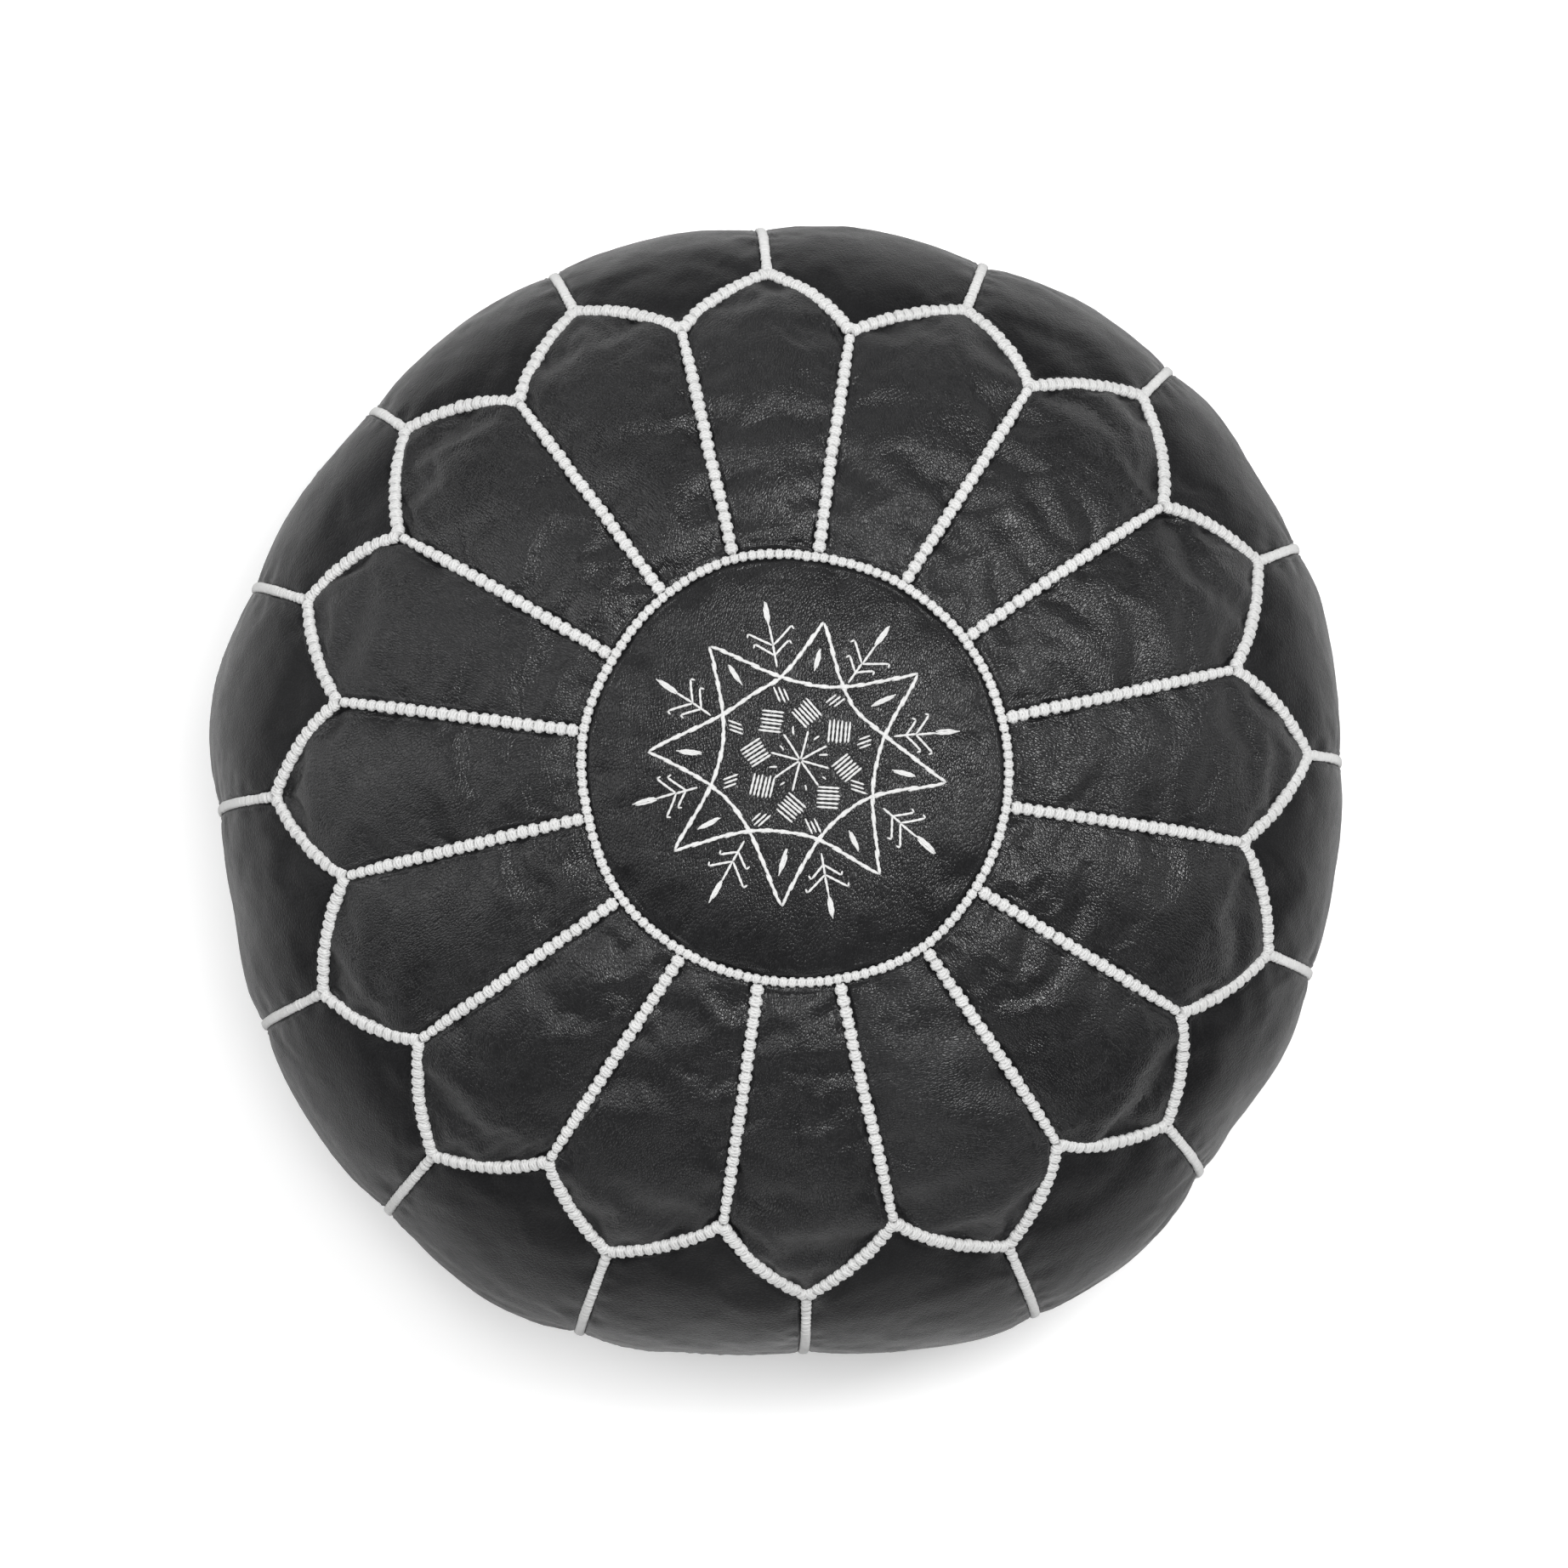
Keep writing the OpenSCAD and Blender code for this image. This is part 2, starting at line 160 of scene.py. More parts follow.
def surf(theta, s, off=0.0):
    """Point and outward normal of the cover at an angle in degrees and an arc length from the crown, off mm out along the normal."""
    theta, s = np.broadcast_arrays(np.asarray(theta, float), np.asarray(s, float))
    s = np.clip(s, 0, S_END)
    r, z = np.interp(s, PS, PRZ[:, 0]), np.interp(s, PS, PRZ[:, 1])
    tr, tz = np.interp(s, PS, _t[:, 0]), np.interp(s, PS, _t[:, 1])
    w = smooth(s, S_BELLY - 125, S_BELLY - 10) * (1 - 0.85 * smooth(s, S_BELLY + 20, S_END))
    a = np.radians(theta)
    c, q = np.cos(a), np.sin(a)
    rr = r + w * lean(theta)
    n = np.stack([-tz * c, -tz * q, tr], -1)
    p = np.stack([rr * c, rr * q, z], -1)
    return p + n * np.asarray(off)[..., None] if np.ndim(off) else p + n * off, n


def clock(k):
    """Angle in degrees, anticlockwise from +X, of the k-th petal point."""
    return 90 - STEP * k


TIPS = [(clock(k) + TIP_OFF[k % N][1], float(s_of_r(TIP_R + TIP_OFF[k % N][0]))) for k in range(N)]
VALS = [(clock(k + 0.5) + VALLEY_OFF[k % N][1], float(s_of_r(VALLEY_R + VALLEY_OFF[k % N][0]))) for k in range(N)]
INNS = [(clock(k + 0.5) + INNER_OFF[k % N][1], float(s_of_r(MEDAL_R + INNER_OFF[k % N][0]))) for k in range(N)]


def plan(ts):
    """(theta, s) to a flattened plan where distances along the dome are kept."""
    a = np.radians(ts[..., 0])
    return np.stack([ts[..., 1] * np.cos(a), ts[..., 1] * np.sin(a)], -1)


def unplan(xy, near):
    """Back from the plan to (theta, s), with theta within half a turn of near."""
    th = np.degrees(np.arctan2(xy[..., 1], xy[..., 0]))
    th = near + (th - near + 180) % 360 - 180
    return np.stack([th, np.hypot(xy[..., 0], xy[..., 1])], -1)


def ts(p):
    return np.array(p, float)


def ring_at(theta):
    """Arc length of the medallion's seam at an angle in degrees."""
    ang = np.array([p[0] for p in INNS[::-1]])
    val = np.array([p[1] for p in INNS[::-1]])
    ang = np.concatenate([ang - 360, ang, ang + 360])
    val = np.concatenate([val, val, val])
    th = (np.asarray(theta) + 720) % 360
    base = ang[0] // 360 * 360
    i = np.clip(np.searchsorted(ang, th) - 1, 1, len(ang) - 3)
    t = (th - ang[i]) / (ang[i + 1] - ang[i])
    p0, p1, p2, p3 = val[i - 1], val[i], val[i + 1], val[i + 2]
    return p1 + 0.5 * t * (p2 - p0 + t * (2 * p0 - 5 * p1 + 4 * p2 - p3 + t * (3 * (p1 - p2) + p3 - p0)))


def seam_radial(k, t):
    """Between petals k and k+1, from the medallion (t 0) to the valley (t 1)."""
    a, b = plan(ts(INNS[k % N])), plan(ts(VALS[k % N]))
    d = b - a
    n = np.array([-d[1], d[0]]) / np.linalg.norm(d)
    bow = 0.8 * math.sin(3.1 * k + 0.7)
    wob = 0.35 * noise3(np.stack([t * 5.0, np.full_like(t, k * 3.7), np.full_like(t, 0.5)], -1), 5)
    xy = a + d * t[:, None] + n * (4 * bow * t * (1 - t) + wob * np.sin(np.pi * t))[:, None]
    return unplan(xy, clock(k % N + 0.5))


def seam_scallop(k, side, t):
    """Half of petal k's pointed end, from the valley (t 0) to the point (t 1). side 0 is towards petal k-1, 1 towards k+1."""
    v, p = VALS[(k - 1 + side) % N], TIPS[k % N]
    near = clock(k % N)
    a, b = plan(ts(v)), plan(ts(p))
    d = b - a
    n = np.array([-d[1], d[0]]) / np.linalg.norm(d)
    if n @ (a + b) < 0:
        n = -n
    h = 3.7 + 0.7 * math.sin(5.3 * k + 2.1 * side)
    bulge = 4 * h * t * (1 - t) * (1 + 0.25 * (0.5 - t))
    wob = 0.3 * noise3(np.stack([t * 4.0, np.full_like(t, k * 2.3 + side), np.full_like(t, 9.5)], -1), 6)
    xy = a + d * t[:, None] + n * (bulge + wob * np.sin(np.pi * t))[:, None]
    return unplan(xy, near)


def seam_side(k, t):
    """From the point of petal k (t 0) down the side to the base (t 1)."""
    th, s = TIPS[k % N]
    drift = 0.7 * math.sin(2.7 * k + 1.0)
    wob = 0.12 * noise3(np.stack([t * 6.0, np.full_like(t, k * 1.9), np.full_like(t, 3.5)], -1), 7)
    return np.stack([th + (clock(k % N) - th) * 0.6 * t + drift * np.sin(np.pi * t) * 0.6 + wob * np.sin(np.pi * t), s + (S_END - s) * t], -1)


# how far each seam is drawn in below the full surface, in mm
def dip_radial(t):
    return 1.6 + 0 * t


DIP_RING, DIP_RADIAL, DIP_SCALLOP = 1.6, 1.6, 2.0


def dip_side(t):
    t = np.clip(t, 0, 1)
    return 2.0 - 1.3 * smooth(t, 0.02, 0.12) + 1.4 * smooth(t, 0.3, 0.6) - 0.8 * smooth(t, 0.85, 1.0)


# ------------------------------------------------------------------ panels as Coons patches
def coons(bottom, top, left, right, u, v):
    """Patch between four border curves, each a function of 0..1; bottom and top run with u, left and right with v."""
    B, T, L, Q = bottom(u)[:, None], top(u)[:, None], left(v)[None], right(v)[None]
    U, V = u[:, None, None], v[None, :, None]
    corners = (1 - U) * (1 - V) * B[0, 0] + U * (1 - V) * B[-1, 0] + (1 - U) * V * T[0, 0] + U * V * T[-1, 0]
    return (1 - V) * B + V * T + (1 - U) * L + U * Q - corners


def petal_map(k):
    """(theta, s) for u across (0 at the k-1 side), v from the medallion out."""
    near = clock(k % N)
    th0, th1 = near + ((INNS[(k - 1) % N][0] - near + 180) % 360 - 180), near + ((INNS[k % N][0] - near + 180) % 360 - 180)

    def bottom(u):
        th = th0 + (th1 - th0) * u
        return plan(np.stack([th, ring_at(th)], -1))

    def top(u):
        lo = seam_scallop(k, 0, np.clip(u * 2, 0, 1))
        hi = seam_scallop(k, 1, np.clip(2 - u * 2, 0, 1))
        return plan(np.where((u <= 0.5)[:, None], lo, hi))

    def left(v):
        return plan(seam_radial(k - 1, v))

    def right(v):
        return plan(seam_radial(k, v))

    return lambda u, v: unplan(coons(bottom, top, left, right, u, v), near)


def side_map(k):
    """Side panel between the points of petals k and k+1: u across, v down."""
    near = clock(k + 0.5)

    def fix(a):
        a = a.copy()
        a[..., 0] = near + (a[..., 0] - near + 180) % 360 - 180
        return a

    def top(u):
        lo = fix(seam_scallop(k, 1, np.clip(1 - u * 2, 0, 1)))
        hi = fix(seam_scallop(k + 1, 0, np.clip(u * 2 - 1, 0, 1)))
        return np.where((u <= 0.5)[:, None], lo, hi)

    def left(v):
        return fix(seam_side(k, v))

    def right(v):
        return fix(seam_side(k + 1, v))

    def bottom(u):
        a, b = left(np.array([1.0]))[0], right(np.array([1.0]))[0]
        return a + (b - a) * u[:, None]

    return lambda u, v: coons(top, bottom, left, right, u, v)


def panel_dip(kind, u, v, P):
    """How far the panel is drawn in near its seams, before it is blown up. P is the 3D position grid."""
    w = 16.0
    D = np.zeros(P.shape[:2])

    def add(edge, dip):
        d = np.linalg.norm(P - edge, axis=-1)
        return dip * np.exp(-(d / w) ** 1.5)

    if kind == "petal":
        parts = [add(P[:, :1], DIP_RING), add(P[:, -1:], DIP_SCALLOP), add(P[:1], DIP_RADIAL), add(P[-1:], DIP_RADIAL)]
    else:
        dv = dip_side(v)[None]
        parts = [add(P[:, :1], DIP_SCALLOP), add(P[:1], dv), add(P[-1:], dv)]
    for p in parts:
        D = np.maximum(D, p)
    return D


def start_grid(kind, k, u, v, full=False):
    m = petal_map(k) if kind == "petal" else side_map(k)
    q = m(u, v)
    P, n = surf(q[..., 0], q[..., 1])
    D = panel_dip(kind, u, v, P)
    if kind == "side":
        # the sides keep their seam dips unchanged (scaled by 1)
        D = D * 1.0
    P = P - n * D[..., None]
    if full:
        return P, n, q
    return P, n


# ------------------------------------------------------------------ the cloth simulation
PETAL_C = (17, 29)      # coarse grid of a petal, u by v
SIDE_C = (19, 61)       # coarse grid of a side panel
MED_C = (64, 15)        # coarse medallion, round by rings


def medal_grid(nt, rho):
    """Medallion positions for nt angles and the ring shares rho (0 at the middle, 1 at the seam)."""
    th = 90 - np.arange(nt) * 360.0 / nt
    S = ring_at(th)[:, None] * rho[None]
    P, n = surf(th[:, None] + 0 * S, S)
    edge = (1 - rho)[None] * ring_at(th)[:, None]
    return P - n * (DIP_RING * np.exp(-(edge / 11.0) ** 1.2))[..., None], n, th


def simulate(verts, faces, pins, settings, frames):
    """Blows up the sewn panels with Blender's Cloth between their fixed seams and gives the new vertex positions in mm."""
    me = bpy.data.meshes.new("sim")
    me.from_pydata((verts * MM).tolist(), [], faces)
    me.update()
    ob = bpy.data.objects.new("sim", me)
    bpy.context.scene.collection.objects.link(ob)
    g = ob.vertex_groups.new(name="pin")
    g.add([int(i) for i in pins], 1.0, "REPLACE")
    m = ob.modifiers.new("cloth", "CLOTH")
    s = m.settings
    s.quality = settings.get("quality", 6)
    s.mass = settings.get("mass", 0.3)
    s.tension_stiffness = s.compression_stiffness = settings.get("stiff", 30)
    s.shear_stiffness = settings.get("shear", 12)
    s.bending_stiffness = settings.get("bend", 1.5)
    s.tension_damping = s.compression_damping = 8
    s.shear_damping = 8
    s.bending_damping = 0.8
    s.air_damping = 2.0
    s.use_pressure = True
    s.uniform_pressure_force = settings.get("pressure", 4)
    s.shrink_min = settings.get("shrink", -0.03)
    s.vertex_group_mass = "pin"
    s.pin_stiffness = 5
    s.effector_weights.gravity = 0
    m.collision_settings.use_collision = False
    m.collision_settings.use_self_collision = False
    m.point_cache.frame_start = 1
    m.point_cache.frame_end = frames + 1
    sc = bpy.context.scene
    for f in range(1, frames + 1):
        sc.frame_set(f)
    ev = ob.evaluated_get(bpy.context.evaluated_depsgraph_get())
    em = ev.to_mesh()
    co = np.zeros(len(verts) * 3, np.float32)
    em.vertices.foreach_get("co", co)
    ev.to_mesh_clear()
    bpy.data.objects.remove(ob)
    bpy.data.meshes.remove(me)
    sc.frame_set(1)
    return co.reshape(-1, 3).astype(float) / MM


def grid_faces(nu, nv, base=0, flip=False):
    i = np.arange(nu - 1)[:, None] * nv + np.arange(nv - 1)[None] + base
    q = np.stack([i, i + nv, i + nv + 1, i + 1], -1).reshape(-1, 4)
    return (q[:, ::-1] if flip else q).tolist()


def run_sim(quick):
    """Displacement in mm, on the coarse grid of each panel."""
    petals, sides = [], []
    verts, faces, pins, cuts = [], [], [], []
    base = 0

    def put(P, n, seed):
        nonlocal base
        nu, nv = P.shape[:2]
        w = np.zeros((nu, nv))
        w[1:-1, 1:-1] = 1
        seedling = P + n * (w * (0.9 * noise3(P / 13.0 + seed * 7.7, 40 + seed % 5) + 0.35 * noise3(P / 6.0 + seed, 50)))[..., None]
        # a turn order that faces outwards
        c = np.cross(P[1, 0] - P[0, 0], P[0, 1] - P[0, 0]) @ n[0, 0]
        verts.append(seedling.reshape(-1, 3))
        faces.extend(grid_faces(nu, nv, base, flip=c < 0))
        idx = np.arange(nu * nv).reshape(nu, nv) + base
        pins.extend(np.concatenate([idx[0], idx[-1], idx[1:-1, 0], idx[1:-1, -1]]).tolist())
        cuts.append((base, nu, nv, P))
        base += nu * nv

    for k in range(N):
        P, n = start_grid("petal", k, np.linspace(0, 1, PETAL_C[0]), np.linspace(0, 1, PETAL_C[1]))
        put(P, n, k)
    for k in range(N):
        P, n = start_grid("side", k, np.linspace(0, 1, SIDE_C[0]), np.linspace(0, 1, SIDE_C[1]))
        put(P, n, 100 + k)
    # the medallion, as rings round a middle vertex
    nt, nr = MED_C
    rho = (np.arange(1, nr + 1) / nr)
    P, n, _ = medal_grid(nt, rho)
    w = np.ones((nt, nr))
    w[:, -1] = 0
    seedling = P + n * (w * 0.4 * noise3(P / 15.0, 77))[..., None]
    mb = base
    verts.append(seedling.reshape(-1, 3))
    verts.append(np.array([[0, 0, TOP]]))
    centre = mb + nt * nr
    for i in range(nt):
        j = (i + 1) % nt
        for r in range(nr - 1):
            faces.append([mb + i * nr + r, mb + i * nr + r + 1, mb + j * nr + r + 1, mb + j * nr + r][::-1])
        faces.append([centre, mb + j * nr, mb + i * nr])
    pins.extend([mb + i * nr + nr - 1 for i in range(nt)])
    V = np.concatenate(verts)
    if quick:
        out = V.copy()
        for b, nu, nv, P in cuts:
            u = np.sin(np.pi * np.linspace(0, 1, nu)) ** 0.7
            v = np.sin(np.pi * np.linspace(0, 1, nv)) ** 0.5
            out[b:b + nu * nv] = P.reshape(-1, 3)
    else:
        out = simulate(V, faces, pins, {"pressure": 6, "shrink": -0.022, "bend": 2.0, "stiff": 30, "quality": 5}, 24)
    res = []
    for b, nu, nv, P in cuts:
        d = out[b:b + nu * nv].reshape(nu, nv, 3) - P
        res.append(d)
    dm = (out[mb:mb + nt * nr].reshape(nt, nr, 3) - P_med(nt, rho))
    dc = out[centre] - np.array([0, 0, TOP])
    return res[:N], res[N:], dm, dc


def P_med(nt, rho):
    return medal_grid(nt, rho)[0]


def cap(d, most):
    """Keeps every displacement within most mm."""
    n = np.linalg.norm(d, axis=-1, keepdims=True)
    return d * (most * np.tanh(n / most) / np.maximum(n, 1e-9))


def cubic_weights(x, n, closed=False):
    """Matrix that takes n even samples on 0..1 to the points x with Catmull-Rom interpolation."""
    t = np.asarray(x, float) * (n if closed else n - 1)
    i = np.floor(t).astype(int)
    if not closed:
        i = np.clip(i, 0, n - 2)
    f = t - i
    w = np.stack([-0.5 * f + f ** 2 - 0.5 * f ** 3, 1 - 2.5 * f ** 2 + 1.5 * f ** 3, 0.5 * f + 2 * f ** 2 - 1.5 * f ** 3, -0.5 * f ** 2 + 0.5 * f ** 3], -1)
    W = np.zeros((len(t), n))
    for k in range(4):
        j = i - 1 + k
        j = j % n if closed else np.clip(j, 0, n - 1)
        np.add.at(W, (np.arange(len(t)), j), w[:, k])
    return W


# ------------------------------------------------------------------ mesh making
def new_object(name, verts_mm, faces, mat, smooth_faces=True):
    me = bpy.data.meshes.new(name)
    v = np.asarray(verts_mm, np.float32) * np.float32(MM)
    if isinstance(faces, np.ndarray):
        nf, fs = faces.shape
        me.vertices.add(len(v))
        me.vertices.foreach_set("co", v.ravel())
        me.loops.add(nf * fs)
        me.loops.foreach_set("vertex_index", faces.astype(np.int32).ravel())
        me.polygons.add(nf)
        me.polygons.foreach_set("loop_start", np.arange(0, nf * fs, fs, dtype=np.int32))
        me.polygons.foreach_set("loop_total", np.full(nf, fs, np.int32))
        me.update(calc_edges=True)
    else:
        me.from_pydata(v.tolist(), [], faces)
        me.update()
    me.validate()
    me.polygons.foreach_set("use_smooth", np.full(len(me.polygons), smooth_faces))
    ob = bpy.data.objects.new(name, me)
    bpy.context.scene.collection.objects.link(ob)
    if mat is not None:
        me.materials.append(mat)
    return ob


def mesh_object(name, verts_mm, quads, tris, mat, smooth_faces=True):
    """An object from arrays of quads and triangles."""
    me = bpy.data.meshes.new(name)
    v = np.asarray(verts_mm, np.float32) * np.float32(MM)
    q = np.asarray(quads, np.int32).reshape(-1, 4)
    t = np.asarray(tris, np.int32).reshape(-1, 3)
    total = np.concatenate([np.full(len(q), 4, np.int32), np.full(len(t), 3, np.int32)])
    start = np.concatenate([[0], np.cumsum(total)[:-1]]).astype(np.int32)
    me.vertices.add(len(v))
    me.vertices.foreach_set("co", v.ravel())
    me.loops.add(int(total.sum()))
    me.loops.foreach_set("vertex_index", np.concatenate([q.ravel(), t.ravel()]))
    me.polygons.add(len(total))
    me.polygons.foreach_set("loop_start", start)
    me.polygons.foreach_set("loop_total", total)
    me.update(calc_edges=True)
    me.validate()
    me.polygons.foreach_set("use_smooth", np.full(len(me.polygons), smooth_faces))
    ob = bpy.data.objects.new(name, me)
    bpy.context.scene.collection.objects.link(ob)
    me.materials.append(mat)
    return ob


def grid_normals(P, closed_u=False):
    if closed_u:
        du = np.roll(P, -1, 0) - np.roll(P, 1, 0)
    else:
        du = np.gradient(P, axis=0)
    dv = np.gradient(P, axis=1)
    n = np.cross(du, dv)
    n /= np.maximum(np.linalg.norm(n, axis=-1, keepdims=True), 1e-12)
    return n


def sheet_faces(nu, nv, outward_is_positive):
    """Faces of a closed thin sheet: outer grid, inner grid, and the four rims."""
    i = np.arange(nu - 1)[:, None] * nv + np.arange(nv - 1)[None]
    q = np.stack([i, i + nv, i + nv + 1, i + 1], -1).reshape(-1, 4)
    if not outward_is_positive:
        q = q[:, ::-1]
    back = q[:, ::-1] + nu * nv
    rims = []
    idx = np.arange(nu * nv).reshape(nu, nv)
    for a in (idx[0, ::-1], idx[-1], idx[:, 0], idx[::-1, -1]):
        r = np.stack([a[:-1], a[1:], a[1:] + nu * nv, a[:-1] + nu * nv], -1)
        rims.append(r[:, ::-1] if outward_is_positive else r)
    return np.concatenate([q, back] + rims)


def near_line(P, line):
    """Distance of each point of the grid P to a polyline, with the place along it in mm."""
    flat = P.reshape(-1, 3)
    seg = np.concatenate([[0], np.cumsum(np.linalg.norm(np.diff(line, axis=0), axis=1))])
    best, where = np.full(len(flat), 1e9), np.zeros(len(flat))
    a, b = line[:-1], line[1:]
    ab = b - a
    L2 = np.maximum((ab ** 2).sum(1), 1e-12)
    for lo in range(0, len(flat), 2048):
        p = flat[lo:lo + 2048]
        t = np.clip(((p[:, None] - a[None]) * ab[None]).sum(-1) / L2[None], 0, 1)
        d = np.linalg.norm(p[:, None] - (a[None] + t[..., None] * ab[None]), axis=-1)
        j = d.argmin(1)
        best[lo:lo + 2048] = d[np.arange(len(p)), j]
        where[lo:lo + 2048] = seg[j] + t[np.arange(len(p)), j] * np.sqrt(L2[j])
    return best.reshape(P.shape[:2]), where.reshape(P.shape[:2])


def spaced(length, edge_a, edge_b, middle):
    """Sample places 0..1 along a length in mm, fine near the ends where there is a seam."""
    fine = [0.0, 0.8, 1.6, 2.3, 2.9, 3.5, 4.0, 4.5, 5.0, 5.6, 6.4, 7.4, 8.8, 10.6, 12.8]
    a = fine if edge_a else [0.0, 1.5]
    b = fine if edge_b else [0.0, 1.5]
    mid = length - a[-1] - b[-1]
    n = max(2, int(round(mid / middle)))
    out = a + [a[-1] + mid * (i + 1) / (n + 1) for i in range(n)] + [length - x for x in b[::-1]]
    return np.array(out) / length


SIDE_PUFF = 0.5
SEAM_HALF = {"petal": 3.0, "round": 2.6, "side": 2.65}


def edge_shape(d, along, half, seed, fold=1.0):
    """Height of the leather in mm at d mm from a seam: tucked under the braid, with the turned edge showing as a broken ridge beside it and small puckers."""
    wander = noise3(np.stack([along / 21.0, np.full_like(d, 0.5), np.full_like(d, seed + 7.7)], -1), 23)
    broken = smooth(noise3(np.stack([along / 6.0, np.full_like(d, 4.5), np.full_like(d, seed + 1.7)], -1), 24), -0.35, 0.25)
    ridge = half + 1.35 + 0.75 * wander
    h = -1.15 * np.exp(-(d / (half * 0.84)) ** 2)
    h = h + fold * (0.15 + 0.85 * broken) * (0.40 * np.exp(-((d - ridge) / 0.62) ** 2) - 0.20 * np.exp(-((d - ridge - 1.35) / 0.75) ** 2))
    n1 = noise3(np.stack([along / 4.3, d / 9.0, np.full_like(d, seed)], -1), 21)
    n2 = noise3(np.stack([along / 9.5, d / 16.0, np.full_like(d, seed + 3.3)], -1), 22)
    return h + (0.24 * n1 * np.exp(-np.maximum(d - half, 0) / 4.5) + 0.55 * n2 * np.exp(-np.maximum(d - half, 0) / 11.0)) * smooth(d, 0, half)


def lapped_edge(d, along, half, seed):
    """Height of the leather where it laps over the inner part of the braid with a smooth cut edge."""
    n2 = noise3(np.stack([along / 11.0, d / 16.0, np.full_like(d, seed + 3.3)], -1), 22)
    over = half * 0.52
    return (0.75 - 3.6 * (1 - smooth(d, over - 0.9, over + 0.55))) * np.exp(-np.maximum(d - over, 0) / 4.2) + 0.4 * n2 * np.exp(-np.maximum(d - half, 0) / 12.0) * smooth(d, 0, half * 1.5)


def rim_folds(q, seed):
    """Long folds that run round the pouf near its widest part, in mm, at (theta, s)."""
    th, ss = q[..., 0], q[..., 1]
    x = np.radians(th) * R
    warp = noise3(np.stack([x / 55.0, ss / 30.0, np.full_like(x, seed * 1.3)], -1), 31)
    a = noise3(np.stack([x / 75.0, ss / 6.0 + warp * 1.2, np.full_like(x, seed * 2.1)], -1), 32)
    b = noise3(np.stack([x / 48.0, ss / 2.9 + warp * 1.6, np.full_like(x, seed * 3.7)], -1), 33)
    m = np.exp(-((ss - S_BELLY + 16) / 34.0) ** 2) * (0.35 + 0.65 * smooth(noise3(np.stack([x / 60.0, np.full_like(x, 2.5), np.full_like(x, seed + 0.5)], -1), 34), -0.4, 0.4))
    return m * (0.55 * (1 - np.abs(a)) ** 3 + 0.22 * (1 - np.abs(b)) ** 3 - 0.25)


def creases(P, seed, amount=1.0):
    """Soft folds and fine creases of worn goatskin, in mm."""
    q = P / 24.0
    a = hashed(np.array([seed]), np.array([3]), np.array([7]), 3)[0] * math.pi
    c, s = math.cos(a), math.sin(a)
    M = np.array([[c, s, 0], [-s, c, 0], [0, 0, 1.0]])
    g = (P @ M.T) * np.array([1 / 17.0, 1 / 6.5, 1 / 10.0])
    warp = np.stack([noise3(q, seed + 1), noise3(q, seed + 2), noise3(q, seed + 3)], -1)
    r = 1 - np.abs(noise3(g + warp * 0.9, seed + 4))
    mask = smooth(noise3(P / 38.0 + seed, seed + 5), -0.1, 0.75)
    big = 0.34 * noise3(P / 31.0, seed + 6)
    return amount * (big + 0.15 * mask * (r ** 4 - 0.3) + 0.05 * noise3(P / 3.1, seed + 8))


# ------------------------------------------------------------------ materials
def material(name):
    m = bpy.data.materials.new(name)
    m.use_nodes = True
    nt = m.node_tree
    for n in list(nt.nodes):
        nt.nodes.remove(n)
    out = nt.nodes.new("ShaderNodeOutputMaterial")
    b = nt.nodes.new("ShaderNodeBsdfPrincipled")
    nt.links.new(b.outputs[0], out.inputs[0])
    return m, nt, b


def add(nt, kind, **kw):
    n = nt.nodes.new(kind)
    for k, v in kw.items():
        if k in n.bl_rna.properties:
            setattr(n, k, v)
        else:
            n.inputs[k].default_value = v
    return n


def ramp(nt, fac, stops):
    n = nt.nodes.new("ShaderNodeValToRGB")
    e = n.color_ramp.elements
    while len(e) < len(stops):
        e.new(0.5)
    for i, (p, c) in enumerate(stops):
        e[i].position = p
        e[i].color = c if len(c) == 4 else (*c, 1)
    nt.links.new(fac, n.inputs[0])
    return n


def math_node(nt, op, a, b=None, c=None):
    n = nt.nodes.new("ShaderNodeMath")
    n.operation = op
    for i, x in enumerate((a, b, c)):
        if x is None:
            continue
        if hasattr(x, "is_linked") or hasattr(x, "links"):
            nt.links.new(x, n.inputs[i])
        else:
            n.inputs[i].default_value = x
    return n.outputs[0]


